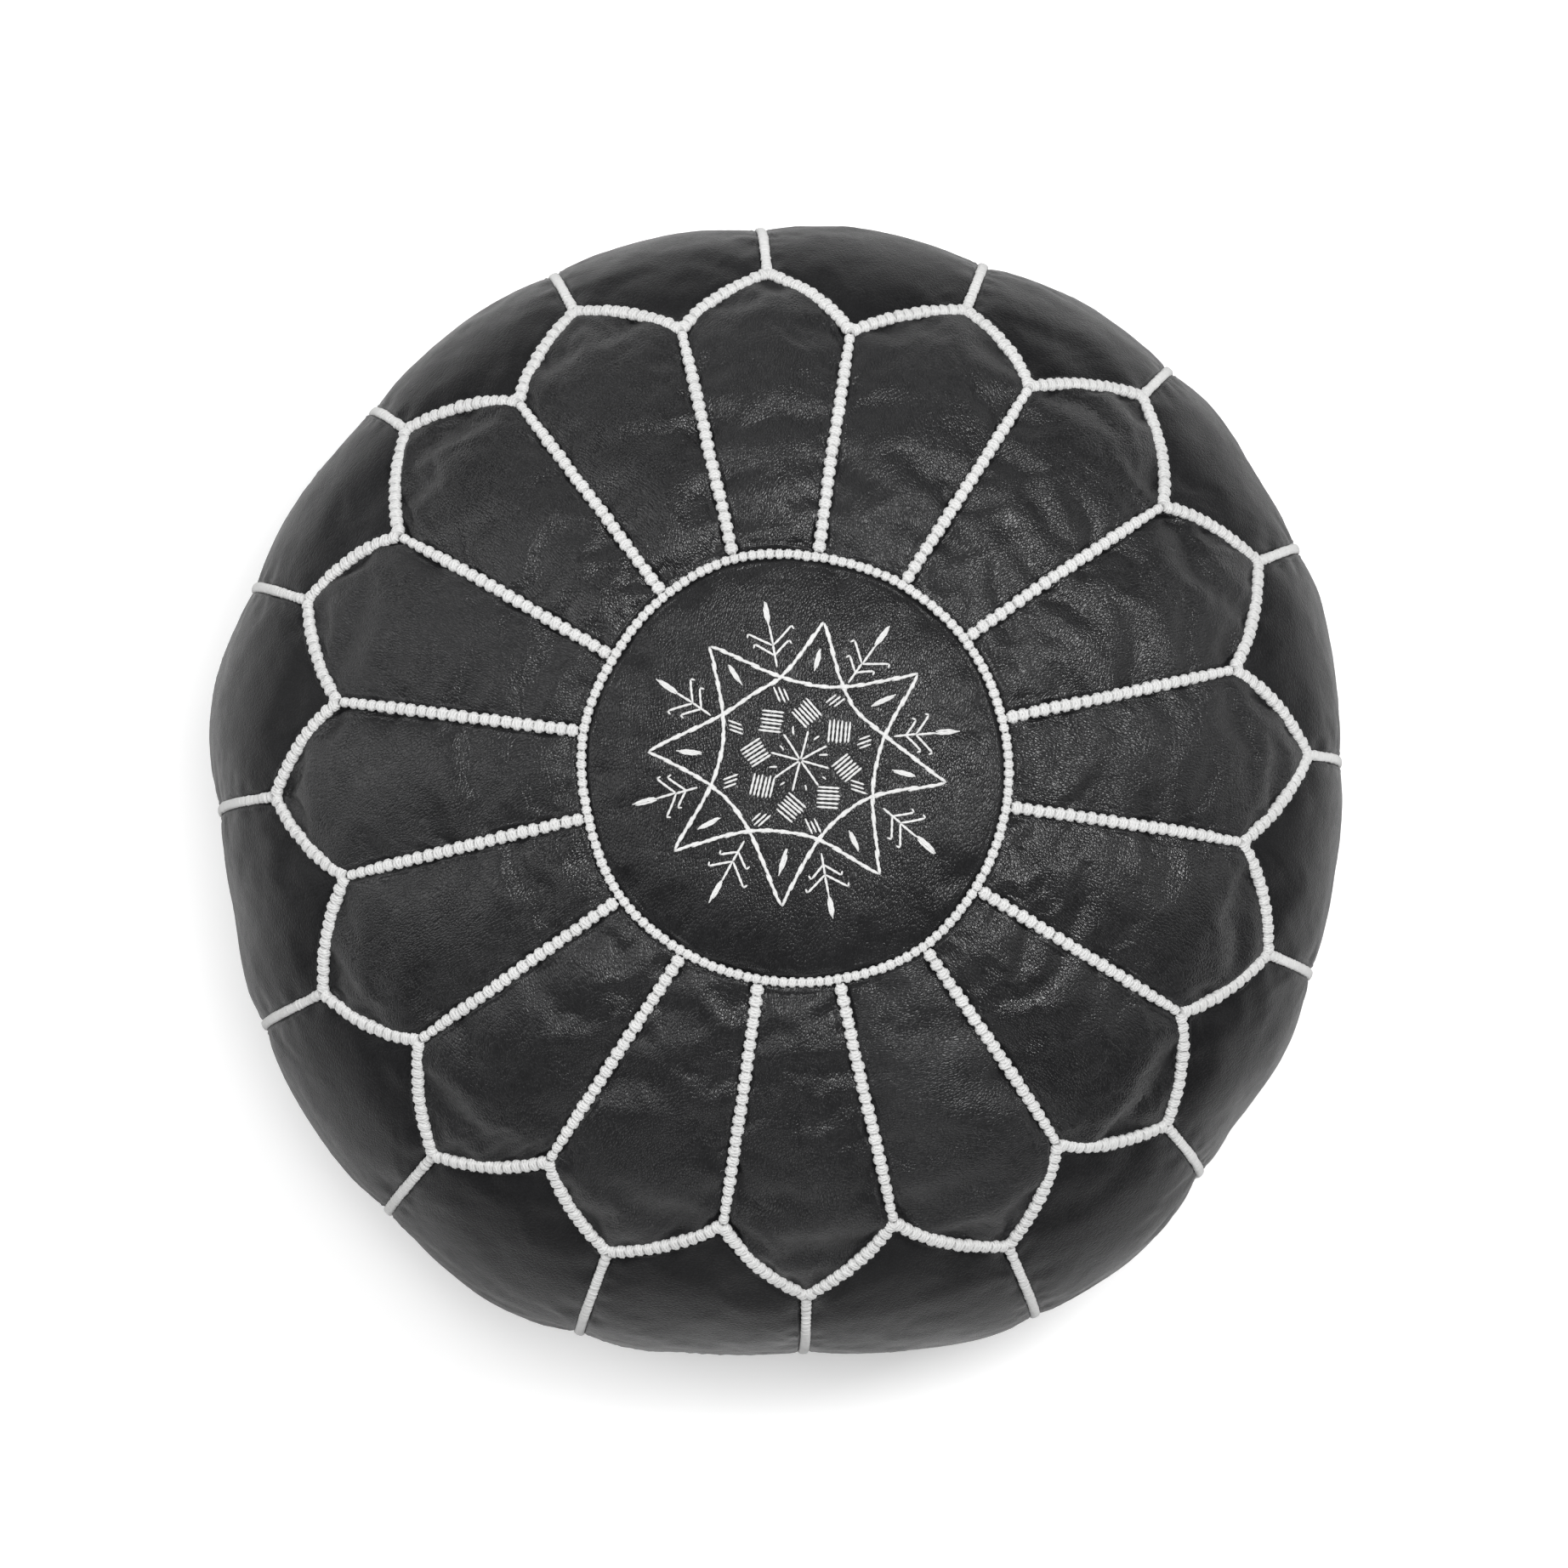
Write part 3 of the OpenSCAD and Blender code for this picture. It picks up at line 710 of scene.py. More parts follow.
def leather_material(name, tone=1.0, rough=0.42, seed=0.0, grain=1.0, turn=0.0, crackle=1.0, shine=0.5):
    """Black goatskin: fine stretched pebbles, soft unevenness and patches of crackled creases. turn is the direction of the hide's grain in degrees."""
    m, nt, b = material(name)
    tc = add(nt, "ShaderNodeTexCoord")
    mp = add(nt, "ShaderNodeMapping")
    mp.inputs["Location"].default_value = (seed * 0.37, seed * 0.21, seed * 0.13)
    mp.inputs["Rotation"].default_value = (0, 0, math.radians(turn))
    nt.links.new(tc.outputs["Object"], mp.inputs[0])
    st = add(nt, "ShaderNodeMapping")
    st.inputs["Scale"].default_value = (1.0, 0.56, 0.8)
    nt.links.new(mp.outputs[0], st.inputs[0])
    P, PS_ = mp.outputs[0], st.outputs[0]

    def noise(scale, detail=3.0, roughness=0.55, distortion=0.0, at=P):
        n = add(nt, "ShaderNodeTexNoise")
        n.inputs["Scale"].default_value = scale
        n.inputs["Detail"].default_value = detail
        n.inputs["Roughness"].default_value = roughness
        n.inputs["Distortion"].default_value = distortion
        nt.links.new(at, n.inputs["Vector"])
        return n

    def voronoi(scale, feature="F1", at=PS_):
        n = add(nt, "ShaderNodeTexVoronoi")
        n.feature = feature
        n.inputs["Scale"].default_value = scale
        nt.links.new(at, n.inputs["Vector"])
        return n.outputs["Distance"]

    # the grain is displaced a little by a slow noise, so that its rows wander
    slow = noise(45.0, 2.0, 0.5)
    wv = add(nt, "ShaderNodeVectorMath")
    wv.operation = "MULTIPLY_ADD"
    nt.links.new(slow.outputs["Color"], wv.inputs[0])
    wv.inputs[1].default_value = (0.006, 0.006, 0.006)
    nt.links.new(PS_, wv.inputs[2])
    pebble = voronoi(1020.0, "F1", wv.outputs[0])
    edge = voronoi(1020.0, "DISTANCE_TO_EDGE", wv.outputs[0])
    pebble2 = voronoi(2600.0, "F1", wv.outputs[0])
    crack = voronoi(330.0, "DISTANCE_TO_EDGE", wv.outputs[0])
    crack2 = voronoi(120.0, "DISTANCE_TO_EDGE", wv.outputs[0])
    big = noise(19.0, 3.0, 0.6, 0.4).outputs[0]
    mid = noise(230.0, 4.0, 0.6, 0.5, PS_).outputs[0]
    fine = noise(2600.0, 2.0, 0.5).outputs[0]
    patch = ramp(nt, big, [(0.42, (0, 0, 0)), (0.66, (1, 1, 1))]).outputs[0]
    p1 = math_node(nt, "SUBTRACT", 1.0, math_node(nt, "MULTIPLY", pebble, pebble))
    p2 = math_node(nt, "SUBTRACT", 1.0, math_node(nt, "MULTIPLY", pebble2, pebble2))
    # heights in millimetres
    e1 = math_node(nt, "MINIMUM", math_node(nt, "MULTIPLY", edge, 4.0), 1.0)
    h = math_node(nt, "MULTIPLY", p1, 0.10 * grain)
    h = math_node(nt, "MULTIPLY_ADD", e1, 0.055 * grain, h)
    h = math_node(nt, "MULTIPLY_ADD", p2, 0.02 * grain, h)
    h = math_node(nt, "MULTIPLY_ADD", mid, 0.20 * grain, h)
    h = math_node(nt, "MULTIPLY_ADD", fine, 0.02, h)
    c1 = math_node(nt, "MINIMUM", math_node(nt, "MULTIPLY", crack, 9.0), 1.0)
    c2 = math_node(nt, "MINIMUM", math_node(nt, "MULTIPLY", crack2, 13.0), 1.0)
    h = math_node(nt, "MULTIPLY_ADD", math_node(nt, "MULTIPLY", c1, patch), 0.07 * crackle, h)
    h = math_node(nt, "MULTIPLY_ADD", math_node(nt, "MULTIPLY", c2, patch), 0.08 * crackle, h)
    bp = add(nt, "ShaderNodeBump")
    bp.inputs["Strength"].default_value = 1.0
    bp.inputs["Distance"].default_value = 0.0013
    nt.links.new(h, bp.inputs["Height"])
    nt.links.new(bp.outputs[0], b.inputs["Normal"])
    # colour: near black, a little paler where it has been rubbed; the grain's furrows are painted darker, as shade
    base = ramp(nt, math_node(nt, "MULTIPLY_ADD", mid, 0.5, math_node(nt, "MULTIPLY", big, 0.5)),
                [(0.30, (0.0092 * tone, 0.0092 * tone, 0.0099 * tone)), (0.72, (0.0150 * tone, 0.0150 * tone, 0.0160 * tone))]).outputs[0]
    # painted shade: the base colour is multiplied down to 0.3 in the furrows between the pebbles
    painted_furrow_shade = nt.nodes.new("ShaderNodeMix")
    painted_furrow_shade.data_type = "RGBA"
    painted_furrow_shade.blend_type = "MULTIPLY"
    painted_furrow_shade.inputs["Factor"].default_value = 0.5
    nt.links.new(base, painted_furrow_shade.inputs["A"])
    nt.links.new(ramp(nt, e1, [(0.0, (0.3, 0.3, 0.3)), (0.8, (1, 1, 1))]).outputs[0], painted_furrow_shade.inputs["B"])
    nt.links.new(painted_furrow_shade.outputs["Result"], b.inputs["Base Color"])
    r = math_node(nt, "MULTIPLY_ADD", mid, 0.14, math_node(nt, "MULTIPLY_ADD", big, 0.22, rough - 0.31))
    nt.links.new(r, b.inputs["Roughness"])
    b.inputs["Specular IOR Level"].default_value = shine
    return m


def thread_material(name, color, scale=1.0, rough=0.62, sheen=0.25):
    """White cotton cord: fine fibres; its colour varies at random and is painted a faint grey in the hollows of its
    lumps, as shade.
    """
    m, nt, b = material(name)
    tc = add(nt, "ShaderNodeTexCoord")

    def noise(s, detail, r=0.55, dist=0.0):
        n = add(nt, "ShaderNodeTexNoise")
        n.inputs["Scale"].default_value = s * scale
        n.inputs["Detail"].default_value = detail
        n.inputs["Roughness"].default_value = r
        n.inputs["Distortion"].default_value = dist
        nt.links.new(tc.outputs["Object"], n.inputs["Vector"])
        return n.outputs[0]

    fibre = noise(3200.0, 3.0, 0.6, 0.8)
    lump = noise(520.0, 3.0)
    wide = noise(24.0, 2.0)
    bp = add(nt, "ShaderNodeBump")
    bp.inputs["Strength"].default_value = 0.5
    bp.inputs["Distance"].default_value = 0.00012
    nt.links.new(math_node(nt, "MULTIPLY_ADD", lump, 0.6, fibre), bp.inputs["Height"])
    nt.links.new(bp.outputs[0], b.inputs["Normal"])
    c = np.array(color)
    # random tone plus painted shade: the colour follows the lump noise of the bump, darker where the cord is lower
    tone_and_hollow_shade = math_node(nt, "MULTIPLY_ADD", wide, 0.45, math_node(nt, "MULTIPLY", lump, 0.55))
    nt.links.new(ramp(nt, tone_and_hollow_shade, [(0.3, tuple(c * 0.84)), (0.66, tuple(c))]).outputs[0], b.inputs["Base Color"])
    nt.links.new(math_node(nt, "MULTIPLY_ADD", fibre, 0.25, rough - 0.12), b.inputs["Roughness"])
    b.inputs["Sheen Weight"].default_value = sheen
    b.inputs["Sheen Roughness"].default_value = 0.4
    b.inputs["Subsurface Weight"].default_value = 0.0
    return m


def metal_material(name, color, rough=0.3):
    m, nt, b = material(name)
    tc = add(nt, "ShaderNodeTexCoord")
    n = add(nt, "ShaderNodeTexNoise")
    n.inputs["Scale"].default_value = 900.0
    n.inputs["Detail"].default_value = 4.0
    nt.links.new(tc.outputs["Object"], n.inputs["Vector"])
    w = add(nt, "ShaderNodeTexNoise")
    w.inputs["Scale"].default_value = 130.0
    w.inputs["Detail"].default_value = 3.0
    nt.links.new(tc.outputs["Object"], w.inputs["Vector"])
    c = np.array(color)
    nt.links.new(ramp(nt, w.outputs[0], [(0.3, tuple(c * 0.8)), (0.7, tuple(c))]).outputs[0], b.inputs["Base Color"])
    nt.links.new(math_node(nt, "MULTIPLY_ADD", w.outputs[0], 0.22, rough - 0.1), b.inputs["Roughness"])
    bp = add(nt, "ShaderNodeBump")
    bp.inputs["Strength"].default_value = 0.25
    bp.inputs["Distance"].default_value = 0.00005
    nt.links.new(n.outputs[0], bp.inputs["Height"])
    nt.links.new(bp.outputs[0], b.inputs["Normal"])
    b.inputs["Metallic"].default_value = 1.0
    return m


def tape_material(name, color):
    """Woven tape: two crossing waves."""
    m, nt, b = material(name)
    tc = add(nt, "ShaderNodeTexCoord")
    hs = []
    for axis in ("X", "Y"):
        w = add(nt, "ShaderNodeTexWave")
        w.wave_type = "BANDS"
        w.bands_direction = axis
        w.inputs["Scale"].default_value = 420.0
        w.inputs["Distortion"].default_value = 0.6
        nt.links.new(tc.outputs["Object"], w.inputs["Vector"])
        hs.append(w.outputs["Fac"])
    h = math_node(nt, "MULTIPLY", hs[0], hs[1])
    bp = add(nt, "ShaderNodeBump")
    bp.inputs["Strength"].default_value = 0.6
    bp.inputs["Distance"].default_value = 0.0002
    nt.links.new(h, bp.inputs["Height"])
    nt.links.new(bp.outputs[0], b.inputs["Normal"])
    c = np.array(color)
    # painted shade: the colour follows the weave's height, darker down to 0.6 between the threads
    nt.links.new(ramp(nt, h, [(0.0, tuple(c * 0.6)), (0.8, tuple(c))]).outputs[0], b.inputs["Base Color"])
    b.inputs["Roughness"].default_value = 0.85
    b.inputs["Sheen Weight"].default_value = 0.2
    return m


def wadding_material(name):
    m, nt, b = material(name)
    tc = add(nt, "ShaderNodeTexCoord")
    n = add(nt, "ShaderNodeTexNoise")
    n.inputs["Scale"].default_value = 140.0
    n.inputs["Detail"].default_value = 8.0
    n.inputs["Roughness"].default_value = 0.7
    n.inputs["Distortion"].default_value = 1.2
    nt.links.new(tc.outputs["Object"], n.inputs["Vector"])
    # random tone plus painted shade: the colour follows the bump noise, darker where the wadding is lower
    nt.links.new(ramp(nt, n.outputs[0], [(0.3, (0.42, 0.4, 0.35)), (0.7, (0.72, 0.7, 0.64))]).outputs[0], b.inputs["Base Color"])
    bp = add(nt, "ShaderNodeBump")
    bp.inputs["Strength"].default_value = 0.8
    bp.inputs["Distance"].default_value = 0.002
    nt.links.new(n.outputs[0], bp.inputs["Height"])
    nt.links.new(bp.outputs[0], b.inputs["Normal"])
    b.inputs["Roughness"].default_value = 0.95
    return m


LEATHERS = [leather_material("goatskin_%d" % i, tone=t, rough=r, seed=float(i), grain=g, turn=w, crackle=c)
            for i, (t, r, g, w, c) in enumerate([(1.0, 0.44, 1.0, 20, 1.0), (1.1, 0.47, 1.1, 75, 1.2), (0.92, 0.41, 0.9, -35, 0.8),
                                                 (1.05, 0.45, 1.15, 120, 1.3), (0.96, 0.43, 1.0, 50, 0.6), (1.0, 0.46, 1.05, -10, 1.0)])]
MEDAL_LEATHER = leather_material("goatskin_medallion", tone=0.95, rough=0.42, seed=6.0, grain=0.9, turn=20, crackle=0.6, shine=0.36)
SIDE_LEATHERS = [leather_material("side_goatskin_%d" % i, tone=t, rough=r, seed=10.0 + i, grain=g, turn=w, crackle=0.4, shine=0.16)
                 for i, (t, r, g, w) in enumerate([(0.95, 0.52, 0.7, 0), (1.05, 0.54, 0.8, 40), (0.9, 0.50, 0.65, 90)])]
BRAID = thread_material("white_braid_cord", (0.64, 0.64, 0.635))
THREAD = thread_material("white_embroidery_thread", (0.66, 0.66, 0.655), scale=1.2, rough=0.5, sheen=0.15)
NICKEL = metal_material("satin_nickel", (0.62, 0.60, 0.56))
TOOTH = metal_material("black_tooth", (0.05, 0.05, 0.055), rough=0.4)
TOOTH.node_tree.nodes["Principled BSDF"].inputs["Metallic"].default_value = 0.0
TAPE = tape_material("zip_tape_weave", (0.03, 0.03, 0.032))
WADDING = wadding_material("cotton_wadding")

# ------------------------------------------------------------------ camera
cam_data = bpy.data.cameras.new("camera")
cam_data.sensor_width = 36.0
cam_data.lens = 127.76
cam_data.clip_start, cam_data.clip_end = 0.05, 50.0
cam = bpy.data.objects.new("camera", cam_data)
bpy.context.scene.collection.objects.link(cam)
bpy.context.scene.camera = cam
back = Vector((-0.02240, -0.05141, 0.99843)).normalized()
roll = math.radians(-2.25)
up = Vector((-math.sin(roll), math.cos(roll), 0))
right = up.cross(back).normalized()
true_up = back.cross(right)
place = Vector((-0.0585, -0.1320, 2.7611))
cam.matrix_world = Matrix(((right.x, true_up.x, back.x, place.x), (right.y, true_up.y, back.y, place.y),
                           (right.z, true_up.z, back.z, place.z), (0, 0, 0, 1)))

# ------------------------------------------------------------------ simulation, then the fine panels
petal_d, side_d, medal_d, medal_c = run_sim(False)


def report_sim():
    a = [np.linalg.norm(d, axis=-1) for d in petal_d]
    b = [np.linalg.norm(d, axis=-1) for d in side_d]
    print("SIM petals mean %.2f max %.2f; sides mean %.2f max %.2f; medallion max %.2f" % (
        np.mean([x.mean() for x in a]), max(x.max() for x in a), np.mean([x.mean() for x in b]), max(x.max() for x in b),
        np.linalg.norm(medal_d, axis=-1).max()))


report_sim()


def seam_points(q, dip):
    P, n = surf(q[:, 0], q[:, 1])
    return P - n * np.reshape(dip, (-1, 1)) if np.ndim(dip) else P - n * dip


T200 = np.linspace(0, 1, 120)
LINE_RADIAL = [seam_points(seam_radial(k, T200), DIP_RADIAL) for k in range(N)]
LINE_SCALLOP = [[seam_points(seam_scallop(k, s, T200), DIP_SCALLOP) for s in (0, 1)] for k in range(N)]
LINE_SIDE = [seam_points(seam_side(k, np.linspace(0, 1, 260)), dip_side(np.linspace(0, 1, 260))) for k in range(N)]


def line_ring():
    th = 90 - np.linspace(0, 360, 721)
    return seam_points(np.stack([th, ring_at(th)], -1), DIP_RING)


LINE_RING = line_ring()


def leather_sheet(name, P, n_hint, mat, node):
    """Closed thin leather from the outer grid P."""
    n = grid_normals(P)
    positive = (n * n_hint).sum(-1).mean() > 0
    if not positive:
        n = -n
    inner = P - n * LEATHER
    nu, nv = P.shape[:2]
    ob = new_object(name, np.concatenate([P.reshape(-1, 3), inner.reshape(-1, 3)]), sheet_faces(nu, nv, positive), mat)
    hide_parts(node)
    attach(ob, "cover")
    return ob


SLIT = 0.35   # half the gap between neighbouring panels, hidden under the braid

for k in range(N):
    u = spaced(70.0, True, True, 2.6)
    v = spaced(146.0, True, True, 2.6)
    u = SLIT / 60 + u * (1 - 2 * SLIT / 60)
    v = SLIT / 146 + v * (1 - 2 * SLIT / 146)
    P, n, q = start_grid("petal", k, u, v, full=True)
    Wu, Wv = cubic_weights(u, PETAL_C[0]), cubic_weights(v, PETAL_C[1])
    disp = np.einsum("iu,uvc,jv->ijc", Wu, cap(petal_d[k], 9.0), Wv)
    P = P + disp
    d_l, a_l = near_line(P, LINE_RADIAL[(k - 1) % N])
    d_r, a_r = near_line(P, LINE_RADIAL[k % N])
    top = np.concatenate([LINE_SCALLOP[k][0], LINE_SCALLOP[k][1][::-1][1:]])
    d_t, a_t = near_line(P, top)
    d_b, a_b = near_line(P, LINE_RING)
    h = (edge_shape(d_l, a_l, SEAM_HALF["petal"], k * 4.1, 0.9) + edge_shape(d_r, a_r, SEAM_HALF["petal"], k * 4.1 + 1, 0.9)
         + lapped_edge(d_t, a_t, SEAM_HALF["round"], k * 4.1 + 2) + edge_shape(d_b, a_b, SEAM_HALF["round"], k * 4.1 + 3, 1.0))
    edge = np.minimum(np.minimum(d_l, d_r), np.minimum(d_t, d_b))
    h = np.maximum(h, -2.2)
    h = h + creases(P, 11 + k * 7) * smooth(edge, 1.5, 9)
    P = P + n * h[..., None]
    leather_sheet("petal_leather_%02d" % (k + 1), P, n, LEATHERS[(k * 5 + k // 3) % 6], "petal_%02d" % (k + 1))

for k in range(N):
    u = spaced(100.0, True, True, 3.0)
    v = spaced(325.0, True, False, 2.6)
    u = SLIT / 95 + u * (1 - 2 * SLIT / 95)
    v = SLIT / 325 + v * (1 - SLIT / 325)
    P, n, q = start_grid("side", k, u, v, full=True)
    Wu, Wv = cubic_weights(u, SIDE_C[0]), cubic_weights(v, SIDE_C[1])
    disp = np.einsum("iu,uvc,jv->ijc", Wu, cap(side_d[k] * SIDE_PUFF, 4.5), Wv)
    P = P + disp
    d_l, a_l = near_line(P, LINE_SIDE[k % N])
    d_r, a_r = near_line(P, LINE_SIDE[(k + 1) % N])
    top = np.concatenate([LINE_SCALLOP[k % N][1][::-1], LINE_SCALLOP[(k + 1) % N][0][1:]])
    d_t, a_t = near_line(P, top)
    h = (edge_shape(d_l, a_l, SEAM_HALF["side"], k * 3.7 + 40, 0.8) + edge_shape(d_r, a_r, SEAM_HALF["side"], k * 3.7 + 41, 0.8)
         + edge_shape(d_t, a_t, SEAM_HALF["round"], k * 3.7 + 42, 1.3))
    edge = np.minimum(np.minimum(d_l, d_r), d_t)
    h = np.maximum(h, -2.2)
    h = h + (creases(P, 211 + k * 7, 0.9) + rim_folds(q, k + 1)) * smooth(edge, 1.5, 10) * (1 - smooth(q[..., 1], S_END - 25, S_END))
    P = P + n * h[..., None]
    P[..., 2] = np.maximum(P[..., 2], 0.05)
    ob = leather_sheet("side_leather_%02d" % (k + 1), P, n, SIDE_LEATHERS[(k * 2 + k // 5) % 3], "side_panel_%02d" % (k + 1))

# the medallion, as one round panel
NT, = (256,)
rho = np.concatenate([np.linspace(0.02, 0.86, 44), 1 - np.array([12.0, 10.5, 9, 7.8, 6.8, 6, 5.4, 4.9, 4.4, 3.9, 3.4, 2.8, 2.1, 1.3, 0.45]) / MEDAL_R])
P, n, th = medal_grid(NT, rho)
Wt = cubic_weights(np.arange(NT) / NT, MED_C[0], closed=True)
r_c = np.concatenate([[0], np.arange(1, MED_C[1] + 1) / MED_C[1]])
full = np.concatenate([np.broadcast_to(medal_c, (MED_C[0], 1, 3)), medal_d], 1)
Wr = cubic_weights(rho, MED_C[1] + 1)
P = P + np.einsum("iu,uvc,jv->ijc", Wt, cap(full * 0.6, 6.0), Wr)
d_e, a_e = near_line(P, LINE_RING)
h = np.maximum(edge_shape(d_e, a_e, SEAM_HALF["round"], 91.0, 0.9), -2.2) + creases(P, 901, 0.8) * smooth(d_e, 1.5, 9)
P = P + n * h[..., None]
MEDAL_P, MEDAL_RHO = P, rho
mid_top = P[:, 0].mean(0)
nr = len(rho)
nn = grid_normals(P, closed_u=True)
if (nn * n).sum(-1).mean() < 0:
    nn = -nn
inner = P - nn * LEATHER
V = np.concatenate([P.reshape(-1, 3), inner.reshape(-1, 3), [mid_top], [mid_top - [0, 0, LEATHER]]])
half = NT * nr
F = []
for i in range(NT):
    j = (i + 1) % NT
    for r in range(nr - 1):
        F.append((i * nr + r, j * nr + r, j * nr + r + 1, i * nr + r + 1))
        F.append((half + i * nr + r + 1, half + j * nr + r + 1, half + j * nr + r, half + i * nr + r))
    F.append((i * nr + nr - 1, j * nr + nr - 1, half + j * nr + nr - 1, half + i * nr + nr - 1))
    F.append((2 * half, j * nr, i * nr))
    F.append((2 * half + 1, half + i * nr, half + j * nr))
medal = new_object("medallion_leather", V, [list(f) for f in F], MEDAL_LEATHER)
if medal.data.polygons[0].normal.z < 0:
    medal.data.flip_normals()
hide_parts("medallion_panel")
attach(medal, "cover")


def medal_height(x, y):
    """Height of the medallion's leather at plan points, in mm."""
    x, y = np.asarray(x, float), np.asarray(y, float)
    t = np.degrees(np.arctan2(y, x))
    r = np.hypot(x, y)
    ai = ((90 - t) % 360) / 360 * NT
    i = np.floor(ai).astype(int) % NT
    f = ai - np.floor(ai)
    R1 = np.hypot(MEDAL_P[..., 0], MEDAL_P[..., 1])
    z = np.zeros_like(r)
    flat = [z.ravel(), r.ravel(), i.ravel(), f.ravel()]
    for m in range(flat[0].size):
        a, b, g, w = flat[1][m], flat[2][m], (flat[2][m] + 1) % NT, flat[3][m]
        z1 = np.interp(a, np.concatenate([[0], R1[b]]), np.concatenate([[mid_top[2]], MEDAL_P[b, :, 2]]))
        z2 = np.interp(a, np.concatenate([[0], R1[g]]), np.concatenate([[mid_top[2]], MEDAL_P[g, :, 2]]))
        flat[0][m] = z1 * (1 - w) + z2 * w
    return z


# ------------------------------------------------------------------ braids
def frames_along(line, normals, places):
    """Point, tangent, outward and sideways vectors at places in mm along a polyline."""
    seg = np.concatenate([[0], np.cumsum(np.linalg.norm(np.diff(line, axis=0), axis=1))])
    P = np.stack([np.interp(places, seg, line[:, c]) for c in range(3)], -1)
    n = np.stack([np.interp(places, seg, normals[:, c]) for c in range(3)], -1)
    e = 0.8
    A = np.stack([np.interp(np.clip(places - e, 0, seg[-1]), seg, line[:, c]) for c in range(3)], -1)
    B = np.stack([np.interp(np.clip(places + e, 0, seg[-1]), seg, line[:, c]) for c in range(3)], -1)
    t = B - A
    t /= np.linalg.norm(t, axis=1)[:, None]
    n = n - (n * t).sum(1)[:, None] * t
    n /= np.linalg.norm(n, axis=1)[:, None]
    return P, t, n, np.cross(n, t), seg[-1]


RNG = np.random.RandomState(20)
SIDES = 6


def spow(c, p):
    return np.sign(c) * np.abs(c) ** p


def tubes(C, up, rad):
    """Closed strands round the centre lines C (strands, points, 3), with an outward hint and a radius at each point."""
    M, K = C.shape[:2]
    t = np.gradient(C, axis=1)
    t /= np.maximum(np.linalg.norm(t, axis=-1, keepdims=True), 1e-9)
    n = up - (up * t).sum(-1, keepdims=True) * t
    n /= np.maximum(np.linalg.norm(n, axis=-1, keepdims=True), 1e-9)
    b = np.cross(n, t)
    a = np.arange(SIDES) * 2 * math.pi / SIDES + 0.3
    ring = C[:, :, None] + rad[..., None, None] * (np.cos(a)[:, None] * b[:, :, None] + np.sin(a)[:, None] * n[:, :, None])
    V = np.concatenate([ring.reshape(M, K * SIDES, 3), C[:, :1] , C[:, -1:]], 1)
    per = K * SIDES + 2
    i = np.arange(K - 1)[:, None] * SIDES
    j = np.arange(SIDES)[None]
    j2 = (j + 1) % SIDES
    q = np.stack([i + j, i + j2, i + SIDES + j2, i + SIDES + j], -1).reshape(-1, 4)
    e = np.arange(SIDES)
    e2 = (e + 1) % SIDES
    t1 = np.stack([np.full(SIDES, K * SIDES), e2, e], -1)
    t2 = np.stack([np.full(SIDES, K * SIDES + 1), (K - 1) * SIDES + e, (K - 1) * SIDES + e2], -1)
    off = np.arange(M)[:, None, None] * per
    return V.reshape(-1, 3), (q[None] + off).reshape(-1, 4), (np.concatenate([t1, t2])[None] + off).reshape(-1, 3)


CU, CV = 12, 7


def cores(P, t, n, b, hl, hw, hh):
    """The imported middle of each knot, under its strands."""
    u = np.arange(CU) * 2 * math.pi / CU
    v = (np.arange(CV) + 1) * math.pi / (CV + 1)
    U, W = np.meshgrid(u, v, indexing="ij")
    unit = np.stack([spow(np.sin(W), 0.75) * spow(np.cos(U), 0.6), spow(np.sin(W), 0.75) * spow(np.sin(U), 0.6), spow(np.cos(W), 0.85)], -1).reshape(-1, 3)
    unit = np.concatenate([unit, [[0, 0, 1], [0, 0, -1]]])
    V = (P[:, None] + unit[None, :, :1] * (hl[:, None, None] * t[:, None]) + unit[None, :, 1:2] * (hw[:, None, None] * b[:, None])
         + unit[None, :, 2:] * (hh[:, None, None] * n[:, None]))
    i = np.arange(CU)[:, None]
    i2 = (i + 1) % CU
    r = np.arange(CV - 1)[None]
    q = np.stack([i * CV + r, i * CV + r + 1, i2 * CV + r + 1, i2 * CV + r], -1).reshape(-1, 4)
    e = np.arange(CU)
    e2 = (e + 1) % CU
    t1 = np.stack([np.full(CU, CU * CV), e * CV, e2 * CV], -1)
    t2 = np.stack([np.full(CU, CU * CV + 1), e2 * CV + CV - 1, e * CV + CV - 1], -1)
    off = np.arange(len(P))[:, None, None] * len(unit)
    return V.reshape(-1, 3), (q[None] + off).reshape(-1, 4), (np.concatenate([t1, t2])[None] + off).reshape(-1, 3)


def merge(parts):
    V, Q, T, base = [], [], [], 0
    for v, q, t in parts:
        V.append(v)
        Q.append(q + base)
        T.append(t + base)
        base += len(v)
    return np.concatenate(V), np.concatenate(Q), np.concatenate(T)


